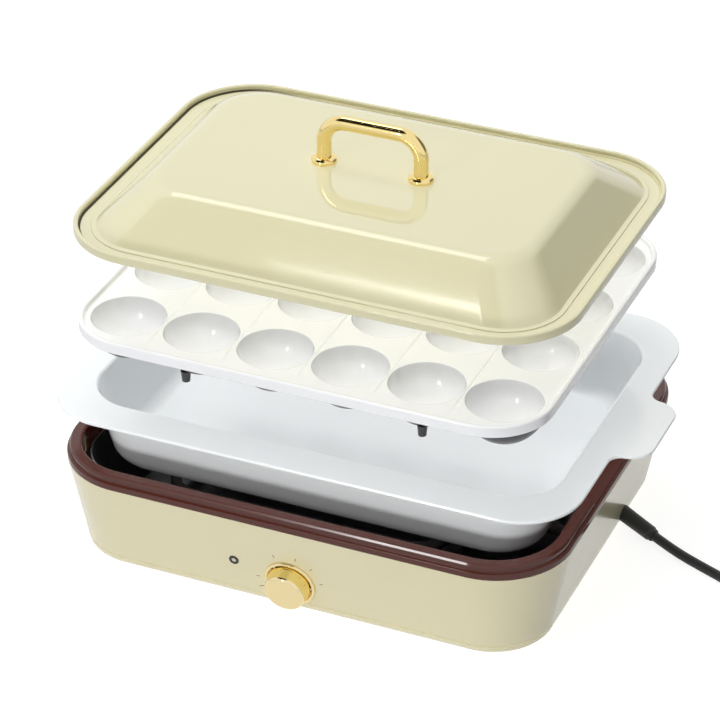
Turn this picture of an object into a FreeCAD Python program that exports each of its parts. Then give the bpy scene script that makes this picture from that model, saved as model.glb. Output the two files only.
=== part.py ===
import FreeCAD, Part
import math
import os
import re
import Sketcher

# A tabletop electric griddle: heater base, deep pan, plate with round cups, lift-off lid
# and a mains lead. Millimetres, +Z up, standing on the table at z = 0,
# front at -Y. The pieces hang one above the other as a taken-apart set, in reach of their seats.

SIZES = {
    # housing of the base
    "set_back": 2.6,
    "foot_drop": 3.0,
    "foot_diameter": 15.0,
    "foot_bevel": 0.8,
    "foot_stem_diameter": 7.0,
    "foot_barb_diameter": 8.6,
    "foot_barb_height": 1.6,
    "foot_inset": 34.0,
    "base_height": 60.2,
    "wall_draft": 10.8,
    "shell_wall": 2.2,
    "cover_height": 6.0,
    "cover_floor": 2.0,
    "cover_edge_round": 3.5,
    "vent_length": 30.0,
    "vent_width": 3.0,
    "vent_round": 1.4,
    "vent_pitch": 9.0,
    "vent_x": 42.0,
    "seam_gap": 0.4,
    "boss_diameter": 9.0,
    "boss_x": 96.0,
    "boss_y": 66.0,
    "post_diameter": 8.4,
    "post_inset": 17.2,
    "post_top": 20.0,
    "post_rib": 2.0,
    "post_bore_depth": 10.0,
    "cover_screw_bite": 8.0,
    # rim ring on top of the housing
    "rim_width": 319.0,
    "rim_depth": 260.0,
    "rim_corner": 48.0,
    "rim_height": 8.8,
    "rim_step_height": 4.2,
    "rim_step": 1.6,
    "rim_band": 9.3,
    "rim_round": 1.6,
    "rim_skirt_wall": 2.2,
    "rim_skirt_drop": 7.0,
    "grip_notch_length": 84.0,
    "grip_notch_depth": 3.2,
    "grip_notch_round": 6.0,
    # heat shield tray
    "shield_wall": 0.8,
    "shield_floor": 9.0,
    "shield_height": 51.0,
    "shield_gap": 1.8,
    "shield_draft_inset": 11.0,
    "shield_front_inset": 8.0,
    "shield_corner": 34.0,
    # heating element
    "element_diameter": 7.0,
    "element_height": 21.0,
    "element_half_width": 112.0,
    "element_half_depth": 58.0,
    "element_bend": 18.0,
    "element_set_in": 46.0,
    "element_tail_reach": 145.5,
    "tail_y": 9.0,
    "tail_spacing": 30.0,
    "tail_hole_gap": 1.0,
    "clip_width": 13.0,
    "clip_length": 8.0,
    "clip_cover": 1.6,
    # dial, bezel and lamp on the front wall
    "dial_height": 23.5,
    "knob_diameter": 27.0,
    "knob_length": 9.6,
    "knob_chamfer": 2.0,
    "knob_lift": 1.2,
    "bezel_diameter": 32.4,
    "bezel_wall": 2.1,
    "bezel_height": 1.8,
    "bezel_step": 1.2,
    "bezel_bevel": 0.6,
    "bezel_floor": 1.2,
    "bezel_tail": 4.5,
    "shaft_diameter": 6.0,
    "shaft_length": 17.0,
    "shaft_grip": 7.0,
    "running_gap": 0.08,
    "thermostat_width": 26.0,
    "thermostat_height": 20.0,
    "thermostat_depth": 9.0,
    "neck_wall": 1.8,
    "nut_diameter": 14.0,
    "nut_height": 2.4,
    "lamp_x": 35.5,
    "lamp_height": 30.9,
    "lamp_diameter": 6.0,
    "lamp_flange": 8.0,
    "lamp_flange_height": 0.8,
    "lamp_wall": 0.8,
    "lens_rise": 0.7,
    "lens_step": 0.2,
    "lens_bevel": 0.7,
    "lamp_length": 7.0,
    # cord entry on the right wall
    "entry_y": 39.0,
    "entry_height": 11.3,
    "bushing_diameter": 10.0,
    "bushing_flange": 12.4,
    "bushing_groove": 10.4,
    "bushing_lip": 1.0,
    "bushing_shoulder": 1.2,
    "bushing_inner_flange": 2.0,
    "bushing_tip": 1.6,
    "bushing_tip_step": 0.5,
    "bushing_turn": 25.0,
    "bushing_droop": 8.0,
    "bushing_length": 24.8,
    "clamp_width": 20.0,
    "clamp_height": 12.0,
    "clamp_depth": 5.0,
    # inner electrics
    "terminal_width": 28.0,
    "terminal_height": 12.0,
    "terminal_depth": 8.0,
    "terminal_x": 74.0,
    "fuse_diameter": 5.0,
    "fuse_length": 22.0,
    "fuse_x": -74.0,
    "fuse_depth": 8.7,
    "lead_diameter": 2.2,
    # deep pan
    "pan_lift": 27.2,
    "seat_gap": 0.3,
    "flange_overhang": 5.5,
    "flange_depth": 243.0,
    "flange_corner": 39.0,
    "flange_thick": 2.4,
    "ear_reach": 20.5,
    "ear_length": 64.0,
    "ear_corner": 14.0,
    "ear_root": 8.0,
    "pan_clearance": 1.0,
    "pan_depth": 195.0,
    "pan_corner": 30.0,
    "pan_drop": 47.4,
    "pan_wall": 2.2,
    "pan_side_inset": 13.0,
    "pan_front_inset": 6.0,
    "pan_floor_round": 12.0,
    # plate with round cups
    "plate_lift": 30.6,
    "plate_width": 293.4,
    "plate_depth": 247.0,
    "plate_corner": 38.0,
    "plate_thick": 2.6,
    "plate_lip_height": 3.0,
    "plate_lip_wall": 3.0,
    "plate_skirt_drop": 6.0,
    "plate_lip_round": 1.0,
    "cup_diameter": 44.8,
    "cup_wall": 1.7,
    "cup_pitch_x": 47.0,
    "cup_pitch_y": 58.0,
    "score_width": 1.2,
    "score_depth": 0.7,
    "score_margin": 13.5,
    "score_corner": 0.55,
    "leg_x": 74.0,
    "leg_stand_in": 4.5,
    "leg_drop": 25.6,
    "leg_top_diameter": 9.0,
    "leg_tip_diameter": 4.4,
    # lid
    "lid_lift": 48.3,
    "lid_overhang": 8.7,
    "lid_depth": 231.0,
    "lid_corner": 47.5,
    "lid_lip_height": 5.8,
    "lid_lip_wall": 3.0,
    "lid_lip_round": 1.3,
    "lid_ledge": 2.2,
    "dome_foot_round": 3.0,
    "lid_channel": 9.5,
    "lid_wall": 1.6,
    "deck_height": 26.3,
    "deck_width": 236.0,
    "deck_depth": 138.0,
    "deck_corner": 27.0,
    "deck_round": 13.0,
    # handle
    "handle_spacing": 61.0,
    "handle_rise": 31.9,
    "handle_diameter": 8.8,
    "handle_bend": 14.0,
    "collar_diameter": 15.3,
    "collar_height": 3.6,
    "collar_bevel": 0.7,
    "collar_slope": 1.2,
    "collar_ledge": 1.4,
    "washer_diameter": 12.0,
    "washer_height": 1.2,
    "screw_diameter": 4.0,
    "screw_head_diameter": 7.6,
    "screw_head_height": 2.2,
    "screw_head_bevel": 0.6,
    "handle_bore_depth": 9.0,
    "handle_screw_bite": 8.0,
    # mains lead
    "cord_diameter": 6.0,
    "coil_middle_diameter": 72.0,
    "coil_turns": 7.0,
    "coil_pitch": 6.6,
    "coil_heading": -25.0,
    "coil_start_x": 264.0,
    "coil_start_y": -6.0,
    "tie_width": 9.0,
    "tie_wall": 1.2,
    "tie_gap": 0.3,
    "mains_plug_width": 23.0,
    "mains_plug_height": 17.0,
    "mains_plug_length": 34.0,
    "mains_plug_round": 4.0,
    "mains_plug_taper": 0.65,
    "mains_plug_turn": -58.0,
    "bushing_lead_out": 17.0,
    "coil_lead_in": 15.0,
    "coil_lead_out": 18.0,
    "mains_plug_lead_in": 16.0,
    "mains_plug_ahead": 36.0,
    "mains_plug_aside": -34.0,
    "blade_length": 17.0,
    "blade_width": 6.3,
    "blade_thick": 1.5,
    "blade_spacing": 12.7,
}

doc = FreeCAD.newDocument("electric_griddle")
sheet = doc.addObject("Spreadsheet::Sheet", "sheet")
for row, (alias, amount) in enumerate(SIZES.items(), start=1):
    sheet.set(f"A{row}", alias)
    sheet.set(f"B{row}", str(amount))
    sheet.setAlias(f"B{row}", alias)
doc.recompute()

NODES = []
TILT = "wall_draft * 1 deg"
SEAM = "(foot_drop + cover_height)"
RIM_BASE = "(foot_drop + base_height)"
RIM_TOP = "(foot_drop + base_height + rim_height)"
FLANGE_WIDTH = "(rim_width + 2 * flange_overhang)"
PAN_WIDTH = "(rim_width - 2 * (rim_band + pan_clearance + pan_wall))"
LID_WIDTH = "(plate_width + 2 * lid_overhang)"


def bound(text):
    """Point each size that an expression names at its cell in the sheet."""
    return re.sub(r"[a-z][a-z_0-9]*",
                  lambda word: "sheet." + word.group() if word.group() in SIZES else word.group(), text)


def value(text):
    """Work an expression out to a plain number."""
    result = sheet.evalExpression(bound(text))
    return float(getattr(result, "Value", result))


def tie(item, path, text):
    """Bind one property of an item to the sheet."""
    item.setExpression(path, bound(text))


def place(item, x="0", y="0", z="0"):
    """Put an item at a place worked out from the sheet."""
    tie(item, "Placement.Base.x", x)
    tie(item, "Placement.Base.y", y)
    tie(item, "Placement.Base.z", z)
    return item


def node(item, label, x="0", y="set_back", z="0"):
    """Make an item one of the part's pieces, named and placed."""
    item.Label = label
    place(item, x, y, z)
    NODES.append(item)
    return item


def turned_to(item, axis, angle):
    """Turn an item about one axis, by an angle worked out from the sheet."""
    item.Placement = FreeCAD.Placement(FreeCAD.Vector(), FreeCAD.Rotation(axis, 90))
    tie(item, "Placement.Rotation.Angle", angle)
    return item


def new_body(name):
    return doc.addObject("PartDesign::Body", name)


def new_sketch(body, name, height="0", role="XY_Plane"):
    """Start a sketch on one of a body's own origin planes, or level with it."""
    sketch = body.newObject("Sketcher::SketchObject", name)
    plane = next(item for item in body.Origin.OriginFeatures if item.Role == role)
    sketch.AttachmentSupport = (plane, [""])
    sketch.MapMode = "FlatFace"
    tie(sketch, "AttachmentOffset.Base.z", height)
    return sketch


def pin(sketch, kind, geometry, point, text):
    """Hold one coordinate of a point at a size from the sheet."""
    index = sketch.addConstraint(Sketcher.Constraint(kind, -1, 1, geometry, point, value(text)))
    tie(sketch, f"Constraints[{index}]", text)


def rounded_line(sketch, corners, radius, closed=True):
    """Draw lines through corners, parallel to the axes, with every corner rounded alike."""
    points = [FreeCAD.Vector(value(x), value(y), 0) for x, y in corners]
    size = value(radius)
    count = len(points)
    bends = list(range(count)) if closed else list(range(1, count - 1))
    arcs = {}
    for corner in bends:
        back = (points[corner - 1] - points[corner]).normalize()
        ahead = (points[(corner + 1) % count] - points[corner]).normalize()
        side = back + ahead
        centre = points[corner] + side * size
        left_turn = ahead.cross(back).z > 0
        first = back if left_turn else ahead
        start_angle = math.atan2(*reversed((points[corner] + first * size - centre)[:2]))
        arc = Part.ArcOfCircle(Part.Circle(centre, FreeCAD.Vector(0, 0, 1), size),
                               start_angle, start_angle + math.pi / 2)
        arcs[corner] = (sketch.addGeometry(arc, False), left_turn)
        for kind, text, way in zip(("DistanceX", "DistanceY"), corners[corner], side):
            pin(sketch, kind, arcs[corner][0], 3, f"{text} + {round(way)} * ({radius})")
    first_arc = arcs[bends[0]][0]
    index = sketch.addConstraint(Sketcher.Constraint("Radius", first_arc, size))
    tie(sketch, f"Constraints[{index}]", radius)
    for corner in bends[1:]:
        sketch.addConstraint(Sketcher.Constraint("Equal", first_arc, arcs[corner][0]))
    for corner in range(count if closed else count - 1):
        following = (corner + 1) % count
        way = (points[following] - points[corner]).normalize()
        start = points[corner] + way * size if corner in arcs else points[corner]
        end = points[following] - way * size if following in arcs else points[following]
        line = sketch.addGeometry(Part.LineSegment(start, end), False)
        if corner in arcs:
            arc, left_turn = arcs[corner]
            sketch.addConstraint(Sketcher.Constraint("Tangent", line, 1, arc, 2 if left_turn else 1))
        if following in arcs:
            arc, left_turn = arcs[following]
            sketch.addConstraint(Sketcher.Constraint("Tangent", line, 2, arc, 1 if left_turn else 2))
        for here, point in ((corner, 1), (following, 2)):
            if here not in arcs:
                along = 0 if abs(way.x) > 0.5 else 1
                pin(sketch, ("DistanceX", "DistanceY")[along], line, point, corners[here][along])
    return sketch


def rounded(sketch, width, depth, radius, x="0", y="0"):
    """Draw a rectangle with rounded corners about a centre."""
    corners = [(f"{x} {side_x} ({width}) / 2", f"{y} {side_y} ({depth}) / 2")
               for side_x, side_y in ("--", "+-", "++", "-+")]
    return rounded_line(sketch, corners, radius)


def polygon(sketch, points):
    """Draw a closed outline of straight lines through points worked out from the sheet."""
    places = [FreeCAD.Vector(value(x), value(y), 0) for x, y in points]
    lines = []
    for start, end in zip(places, places[1:] + places[:1]):
        lines.append(sketch.addGeometry(Part.LineSegment(start, end), False))
    for index, line in enumerate(lines):
        sketch.addConstraint(Sketcher.Constraint("Coincident", line, 2, lines[(index + 1) % len(lines)], 1))
        pin(sketch, "DistanceX", line, 1, points[index][0])
        pin(sketch, "DistanceY", line, 1, points[index][1])
    return sketch


def disc(sketch, radius, x="0", y="0"):
    """Draw a circle."""
    centre = FreeCAD.Vector(value(x), value(y), 0)
    circle = sketch.addGeometry(Part.Circle(centre, FreeCAD.Vector(0, 0, 1), value(radius)), False)
    pin(sketch, "DistanceX", circle, 3, x)
    pin(sketch, "DistanceY", circle, 3, y)
    index = sketch.addConstraint(Sketcher.Constraint("Radius", circle, value(radius)))
    tie(sketch, f"Constraints[{index}]", radius)
    return sketch


def feature(sketch, kind, length, reverse=False):
    """Pad or pocket a sketch in its own body."""
    body = sketch.getParentGeoFeatureGroup()
    made = body.newObject("PartDesign::" + kind, f"{sketch.Name}_{kind.lower()}")
    made.Profile = sketch
    tie(made, "Length", length)
    made.Reversed = reverse
    return made


def loft(sketches, kind="AdditiveLoft"):
    """Join outlines at different heights by straight walls, from the top outline down."""
    body = sketches[0].getParentGeoFeatureGroup()
    made = body.newObject("PartDesign::" + kind, f"{sketches[0].Name}_{kind.lower()}")
    made.Profile = sketches[0]
    made.Sections = sketches[1:]
    made.Ruled = True
    return made


def rounding(base, edges, radius, kind="Fillet", name="rounding"):
    """Round or bevel named edges of the feature before."""
    body = base.getParentGeoFeatureGroup()
    made = body.newObject("PartDesign::" + kind, f"{body.Name}_{name}")
    made.Base = (base, edges)
    tie(made, "Radius" if kind == "Fillet" else "Size", radius)
    return made


def loop_edges(base, height, inner=False, outer=True):
    """Name the edges round the flat faces at one height of a body."""
    doc.recompute()
    level = value(height)
    chosen = []
    for face in base.Shape.Faces:
        if abs(face.BoundBox.ZMin - level) < 0.01 and abs(face.BoundBox.ZMax - level) < 0.01:
            for wire in face.Wires:
                if outer if wire.isSame(face.OuterWire) else inner:
                    chosen.extend(wire.Edges)
    return [f"Edge{index + 1}" for index, edge in enumerate(base.Shape.Edges)
            if any(edge.isSame(pick) for pick in chosen)]


def turned(name, points):
    """Turn an outline of (radius, height) points about the Z axis."""
    sketch = doc.addObject("Sketcher::SketchObject", name + "_outline")
    sketch.Placement = FreeCAD.Placement(FreeCAD.Vector(), FreeCAD.Rotation(FreeCAD.Vector(1, 0, 0), 90))
    polygon(sketch, points)
    return revolved(name, sketch)


def revolved(name, sketch):
    made = doc.addObject("Part::Revolution", name)
    made.Source = sketch
    made.Axis = FreeCAD.Vector(0, 0, 1)
    made.Base = FreeCAD.Vector(0, 0, 0)
    made.Angle = 360
    made.Solid = True
    return made


def cylinder(name, radius, height, x="0", y="0", z="0"):
    made = doc.addObject("Part::Cylinder", name)
    tie(made, "Radius", radius)
    tie(made, "Height", height)
    return place(made, x, y, z)


def box(name, length, width, height, x="0", y="0", z="0"):
    """A box centred on x and y, standing on z."""
    made = doc.addObject("Part::Box", name)
    tie(made, "Length", length)
    tie(made, "Width", width)
    tie(made, "Height", height)
    return place(made, f"{x} - ({length}) / 2", f"{y} - ({width}) / 2", z)


def joined(name, items, kind="Part::MultiFuse"):
    made = doc.addObject(kind, name)
    setattr(made, "Links" if kind == "Part::Compound" else "Shapes", items)
    return made


def cut(name, base, tool):
    made = doc.addObject("Part::Cut", name)
    made.Base = base
    made.Tool = tool
    return made


def on_front(item, x="0", height="dial_height", lift="0"):
    """Stand an item on the sloping front wall, its own Z pointing out of the wall."""
    turned_to(item, FreeCAD.Vector(1, 0, 0), f"90 deg + {TILT}")
    wall = f"(rim_depth / 2 - ({RIM_BASE} - {height}) * tan({TILT}))"
    return place(item, x, f"-{wall} - {lift} * cos({TILT})", f"{height} - {lift} * sin({TILT})")


def on_right(item, lift="0"):
    """Stand an item on the sloping right wall at the cord entry, its own Z pointing out."""
    turned_to(item, FreeCAD.Vector(0, 1, 0), f"90 deg + {TILT}")
    wall = f"(rim_width / 2 - ({RIM_BASE} - entry_height) * tan({TILT}))"
    return place(item, f"{wall} + {lift} * cos({TILT})", "entry_y", f"entry_height - {lift} * sin({TILT})")


def moved_back(item):
    """Shift a placed item from the housing's middle to the part's own frame."""
    for path, text in list(item.ExpressionEngine):
        if path.lstrip(".") == "Placement.Base.y":
            item.setExpression("Placement.Base.y", f"{text} + sheet.set_back")
    return item


def keep(item, label):
    """Make an already placed item one of the part's pieces."""
    item.Label = label
    NODES.append(moved_back(item))
    return item


# Housing of the base. One draft angle gives every wall its slope, so an outline at any height
# is the rim's outline drawn in by the height below the rim times the slope.
def housing_outline(body, name, height, inward="0"):
    inset = f"(({RIM_BASE} - ({height})) * tan({TILT}) + {inward})"
    sketch = new_sketch(body, name, height)
    return rounded(sketch, f"rim_width - 2 * {inset}", f"rim_depth - 2 * {inset}", f"rim_corner - {inset}")


def corners_of(x, y):
    """The four places that a pair of distances from the middle gives."""
    return [(f"{side_x} * ({x})", f"{side_y} * ({y})") for side_x in (-1, 1) for side_y in (-1, 1)]


SHELL_LOW = f"({SEAM} + seam_gap)"
COVER_TOP = "(foot_drop + cover_floor)"
shell = new_body("shell_body")
loft([housing_outline(shell, "shell_top", RIM_BASE), housing_outline(shell, "shell_low", SHELL_LOW)])
shell_space = new_body("shell_space_body")
loft([housing_outline(shell_space, "space_top", RIM_BASE, "shell_wall"),
      housing_outline(shell_space, "space_low", SHELL_LOW, "shell_wall")])
shell_wall = cut("shell_wall", shell, shell_space)

# Screw posts in the shell's corners, each with a rib that runs out to the wall at 45 degrees.
POST_X = f"(rim_width / 2 - base_height * tan({TILT}) - post_inset)"
POST_Y = f"(rim_depth / 2 - base_height * tan({TILT}) - post_inset)"
posts = []
post_bores = []
ribs = []
for number, (x, y) in enumerate(corners_of(POST_X, POST_Y)):
    posts.append(cylinder(f"post_{number}", "post_diameter / 2", f"post_top - {COVER_TOP}", x, y, COVER_TOP))
    bore = cylinder(f"post_bore_{number}", "screw_diameter / 2", "post_bore_depth", x, y, COVER_TOP)
    post_bores.append(bore)
    rib = box(f"rib_box_{number}", "post_inset", "post_rib", f"post_top - {SHELL_LOW}", "post_inset / 2")
    outward = math.degrees(math.atan2(value(y), value(x)) // (math.pi / 2) * math.pi / 2) + 45
    rib_piece = joined(f"rib_{number}", [rib], "Part::Compound")
    rib_piece.Placement = FreeCAD.Placement(
        FreeCAD.Vector(), FreeCAD.Rotation(FreeCAD.Vector(0, 0, 1), outward))
    ribs.append(place(rib_piece, x, y, SHELL_LOW))
ribs_inside = doc.addObject("Part::MultiCommon", "ribs_inside")
ribs_inside.Shapes = [shell, joined("rib_set", ribs, "Part::Compound")]
shell_full = joined("shell_full", [shell_wall, ribs_inside] + posts)

dial_hole = cylinder("dial_hole", "bezel_diameter / 2 - bezel_step", "4 * shell_wall")
on_front(dial_hole, lift="-2 * shell_wall")
lamp_hole = cylinder("lamp_hole", "lamp_diameter / 2", "4 * shell_wall")
on_front(lamp_hole, "-lamp_x", "lamp_height", "-2 * shell_wall")
entry_hole = cylinder("entry_hole", "bushing_groove / 2", "4 * shell_wall")
on_right(entry_hole, "-2 * shell_wall")
shell_holes = joined("shell_holes", [dial_hole, lamp_hole, entry_hole] + post_bores)
node(cut("base_shell_cut", shell_full, shell_holes), "base_shell")

# Bottom cover: a shallow tray under the seam, with bosses that carry the heat shield and vent slots.
cover = new_body("cover_body")
cover_solid = loft([housing_outline(cover, "cover_top", SEAM),
                    housing_outline(cover, "cover_low", "foot_drop")])
rounding(cover_solid, loop_edges(cover_solid, "foot_drop"), "cover_edge_round")
tray = housing_outline(cover, "cover_tray", SEAM, "shell_wall")
feature(tray, "Pocket", "cover_height - cover_floor")
bosses = new_sketch(cover, "cover_bosses", "foot_drop + cover_floor")
for side_x in (-1, 1):
    for side_y in (-1, 1):
        disc(bosses, "boss_diameter / 2", f"{side_x} * boss_x", f"{side_y} * boss_y")
feature(bosses, "Pad", "shield_floor - foot_drop - cover_floor")
cover_holes = new_sketch(cover, "cover_holes", COVER_TOP)
FOOT_X = f"(rim_width / 2 - base_height * tan({TILT}) - foot_inset)"
FOOT_Y = f"(rim_depth / 2 - base_height * tan({TILT}) - foot_inset)"
for x, y in corners_of(POST_X, POST_Y):
    disc(cover_holes, "screw_diameter / 2", x, y)
for x, y in corners_of(FOOT_X, FOOT_Y):
    disc(cover_holes, "foot_stem_diameter / 2", x, y)
feature(cover_holes, "Pocket", "2 * cover_floor")
vents = new_sketch(cover, "cover_vents", COVER_TOP)
for side in (-1, 1):
    for row in range(-2, 3):
        rounded(vents, "vent_length", "vent_width", "vent_round", f"{side} * vent_x", f"{row} * vent_pitch")
feature(vents, "Pocket", "2 * cover_floor")
cover_entry = cylinder("cover_entry", "bushing_groove / 2", "4 * shell_wall")
on_right(cover_entry, "-2 * shell_wall")
cover_notch = cylinder("cover_notch", "bezel_diameter / 2 - bezel_step", "4 * shell_wall")
on_front(cover_notch, lift="-2 * shell_wall")
node(cut("bottom_cover_cut", cover, joined("cover_gaps", [cover_entry, cover_notch])), "bottom_cover")

# Rubber feet, each held by a barbed stem that is pushed through the cover's floor.
foot_points = [("0", "0"), ("foot_diameter / 2 - foot_bevel", "0"), ("foot_diameter / 2", "foot_bevel"),
               ("foot_diameter / 2", "foot_drop"), ("foot_stem_diameter / 2", "foot_drop"),
               ("foot_stem_diameter / 2", COVER_TOP), ("foot_barb_diameter / 2", COVER_TOP),
               ("foot_stem_diameter / 2", f"{COVER_TOP} + foot_barb_height"),
               ("0", f"{COVER_TOP} + foot_barb_height")]
feet = []
for number, (x, y) in enumerate(corners_of(FOOT_X, FOOT_Y)):
    feet.append(place(turned(f"foot_{number}", foot_points), x, y))
node(joined("rubber_feet", feet, "Part::Compound"), "rubber_feet")

# Rim ring: a two-step bead round the mouth, a skirt inside it, and a grip notch on each short side.
rim = new_body("rim_body")
rim_low = new_sketch(rim, "rim_low")
feature(rounded(rim_low, "rim_width", "rim_depth", "rim_corner"), "Pad", "rim_step_height")
rim_high = new_sketch(rim, "rim_high")
feature(rounded(rim_high, "rim_width - 2 * rim_step", "rim_depth - 2 * rim_step", "rim_corner - rim_step"),
        "Pad", "rim_height")
SKIRT_INSET = "(rim_band - rim_skirt_wall)"
rim_skirt = new_sketch(rim, "rim_skirt")
rounded(rim_skirt, f"rim_width - 2 * {SKIRT_INSET}", f"rim_depth - 2 * {SKIRT_INSET}",
        f"rim_corner - {SKIRT_INSET}")
feature(rim_skirt, "Pad", "rim_skirt_drop", reverse=True)
rim_mouth = new_sketch(rim, "rim_mouth", "rim_height")
rounded(rim_mouth, "rim_width - 2 * rim_band", "rim_depth - 2 * rim_band", "rim_corner - rim_band")
feature(rim_mouth, "Pocket", "2 * (rim_height + rim_skirt_drop)")
notches = new_sketch(rim, "grip_notches", "rim_height")
rounded(notches, "rim_width + 4 * grip_notch_round", "grip_notch_length", "grip_notch_round")
rim_solid = feature(notches, "Pocket", "grip_notch_depth")
rounding(rim_solid, loop_edges(rim_solid, "rim_height"), "rim_round")
node(rim, "rim_ring", z=RIM_BASE)


# Heat shield: a bright sheet tray that hangs inside the rim's skirt and stands on the cover's bosses.
def shield_outline(body, name, height, inset, inward="0"):
    sketch = new_sketch(body, name, height)
    reach = f"(rim_band + shield_gap + {inset} + {inward})"
    return rounded(sketch, f"rim_width - 2 * {reach}", f"rim_depth - 2 * ({reach} + shield_front_inset)",
                   f"shield_corner - {inset} / 2 - {inward}")


shield = new_body("shield_body")
loft([shield_outline(shield, "shield_top", "shield_height", "0"),
      shield_outline(shield, "shield_low", "0", "shield_draft_inset")])
loft([shield_outline(shield, "shield_in_top", "shield_height", "0", "shield_wall"),
      shield_outline(shield, "shield_in_low", "shield_wall", "shield_draft_inset", "shield_wall")],
     "SubtractiveLoft")
shield_screw_holes = new_sketch(shield, "shield_screw_holes", "shield_wall")
for x, y in corners_of("boss_x", "boss_y"):
    disc(shield_screw_holes, "screw_diameter / 2", x, y)
feature(shield_screw_holes, "Pocket", "2 * shield_wall")
tail_holes = new_sketch(shield, "tail_holes", "rim_width / 2", "YZ_Plane")
for side in (-1, 1):
    disc(tail_holes, "element_diameter / 2 + tail_hole_gap", f"tail_y + {side} * tail_spacing / 2",
         "element_height - shield_floor")
feature(tail_holes, "Pocket", "rim_width / 4")
node(shield, "heat_shield", z="shield_floor")

# Heating element: one sheathed tube bent into a loop, its two tails leaving through the shield's right wall.
element = new_body("element_body")
front_tail = "(tail_y - tail_spacing / 2)"
back_tail = "(tail_y + tail_spacing / 2)"
SET_IN = "(element_half_width - element_set_in)"
element_route = new_sketch(element, "element_route")
rounded_line(element_route, [("element_tail_reach", front_tail), (SET_IN, front_tail),
                             (SET_IN, "-element_half_depth"),
                             ("-element_half_width", "-element_half_depth"),
                             ("-element_half_width", "element_half_depth"),
                             ("element_half_width", "element_half_depth"),
                             ("element_half_width", back_tail), ("element_tail_reach", back_tail)],
             "element_bend", closed=False)
element_section = new_sketch(element, "element_section", "element_tail_reach", "YZ_Plane")
disc(element_section, "element_diameter / 2", front_tail)
element_tube = element.newObject("PartDesign::AdditivePipe", "element_tube")
element_tube.Profile = element_section
element_tube.Spine = (element_route, [])
node(element, "heating_element", z="element_height")

# Element clips: small saddles that hold the tube above the shield's floor.
clips = []
CLIP_TOP = "element_height + element_diameter / 2 + clip_cover - shield_floor - shield_wall"
clip_places = [("-element_half_width", "0", False), ("0", "-element_half_depth", True),
               ("0", "element_half_depth", True), (SET_IN, "-element_half_depth / 2", False)]
for number, (x, y, along_x) in enumerate(clip_places):
    block = box(f"clip_block_{number}", "clip_length" if along_x else "clip_width",
                "clip_width" if along_x else "clip_length", CLIP_TOP, x, y, "shield_floor + shield_wall")
    bore = doc.addObject("Part::Cylinder", f"clip_bore_{number}")
    tie(bore, "Radius", "element_diameter / 2")
    tie(bore, "Height", "2 * clip_length")
    if along_x:
        bore.Placement = FreeCAD.Placement(FreeCAD.Vector(), FreeCAD.Rotation(FreeCAD.Vector(0, 1, 0), 90))
        place(bore, f"{x} - clip_length", y, "element_height")
    else:
        bore.Placement = FreeCAD.Placement(FreeCAD.Vector(), FreeCAD.Rotation(FreeCAD.Vector(1, 0, 0), 90))
        place(bore, x, f"{y} + clip_length", "element_height")
    clips.append(cut(f"clip_{number}", block, bore))
node(joined("element_clips", clips, "Part::Compound"), "element_clips")


def screw(name, length):
    """A pan-head screw standing head down, its shank pointing up."""
    return turned(name, [("0", "0"), ("screw_head_diameter / 2 - screw_head_bevel", "0"),
                         ("screw_head_diameter / 2", "screw_head_bevel"),
                         ("screw_head_diameter / 2", "screw_head_height"),
                         ("screw_diameter / 2", "screw_head_height"),
                         ("screw_diameter / 2", f"screw_head_height + {length}"),
                         ("0", f"screw_head_height + {length}")])


# Cover screws go up through the cover's floor into the shell's posts, shield screws down to the bosses.
cover_screws = []
for number, (x, y) in enumerate(corners_of(POST_X, POST_Y)):
    low_screw = screw(f"cover_screw_{number}", "cover_floor + cover_screw_bite")
    cover_screws.append(place(low_screw, x, y, "foot_drop - screw_head_height"))
node(joined("cover_screws", cover_screws, "Part::Compound"), "cover_screws")

shield_screws = []
for number, (x, y) in enumerate(corners_of("boss_x", "boss_y")):
    top_screw = screw(f"shield_screw_{number}", "shield_wall")
    top_screw.Placement = FreeCAD.Placement(FreeCAD.Vector(), FreeCAD.Rotation(FreeCAD.Vector(1, 0, 0), 180))
    shield_screws.append(place(top_screw, x, y, "shield_floor + shield_wall + screw_head_height"))
node(joined("shield_screws", shield_screws, "Part::Compound"), "shield_screws")

# Bezel: a polished cup let into the wall, with a floor that the thermostat's neck passes through.
BEZEL_BORE = "(bezel_diameter / 2 - bezel_wall)"
BEZEL_TAIL = "(bezel_diameter / 2 - bezel_step)"
BEZEL_SEAT = "(bezel_floor - bezel_tail)"
NECK = "(shaft_diameter / 2 + neck_wall)"
bezel_points = [(NECK, "-bezel_tail"), (BEZEL_TAIL, "-bezel_tail"), (BEZEL_TAIL, "0"),
                ("bezel_diameter / 2", "0"), ("bezel_diameter / 2", "bezel_height - bezel_bevel"),
                ("bezel_diameter / 2 - bezel_bevel", "bezel_height"), (BEZEL_BORE, "bezel_height"),
                (BEZEL_BORE, BEZEL_SEAT), (NECK, BEZEL_SEAT)]
keep(on_front(turned("bezel_turned", bezel_points)), "knob_bezel")

# Dial knob: a plain polished drum with a bevelled face and a blind bore for the shaft.
knob_points = [("shaft_diameter / 2", "knob_lift"), ("knob_diameter / 2", "knob_lift"),
               ("knob_diameter / 2", "knob_lift + knob_length - knob_chamfer"),
               ("knob_diameter / 2 - knob_chamfer", "knob_lift + knob_length"),
               ("0", "knob_lift + knob_length"), ("0", "knob_lift + shaft_grip"),
               ("shaft_diameter / 2", "knob_lift + shaft_grip")]
keep(on_front(turned("knob_turned", knob_points)), "dial_knob")

SHAFT_LOW = "(knob_lift + shaft_grip - shaft_length)"
shaft = cylinder("shaft_rod", "shaft_diameter / 2", "shaft_length")
keep(on_front(shaft, lift=SHAFT_LOW), "dial_shaft")

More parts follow.
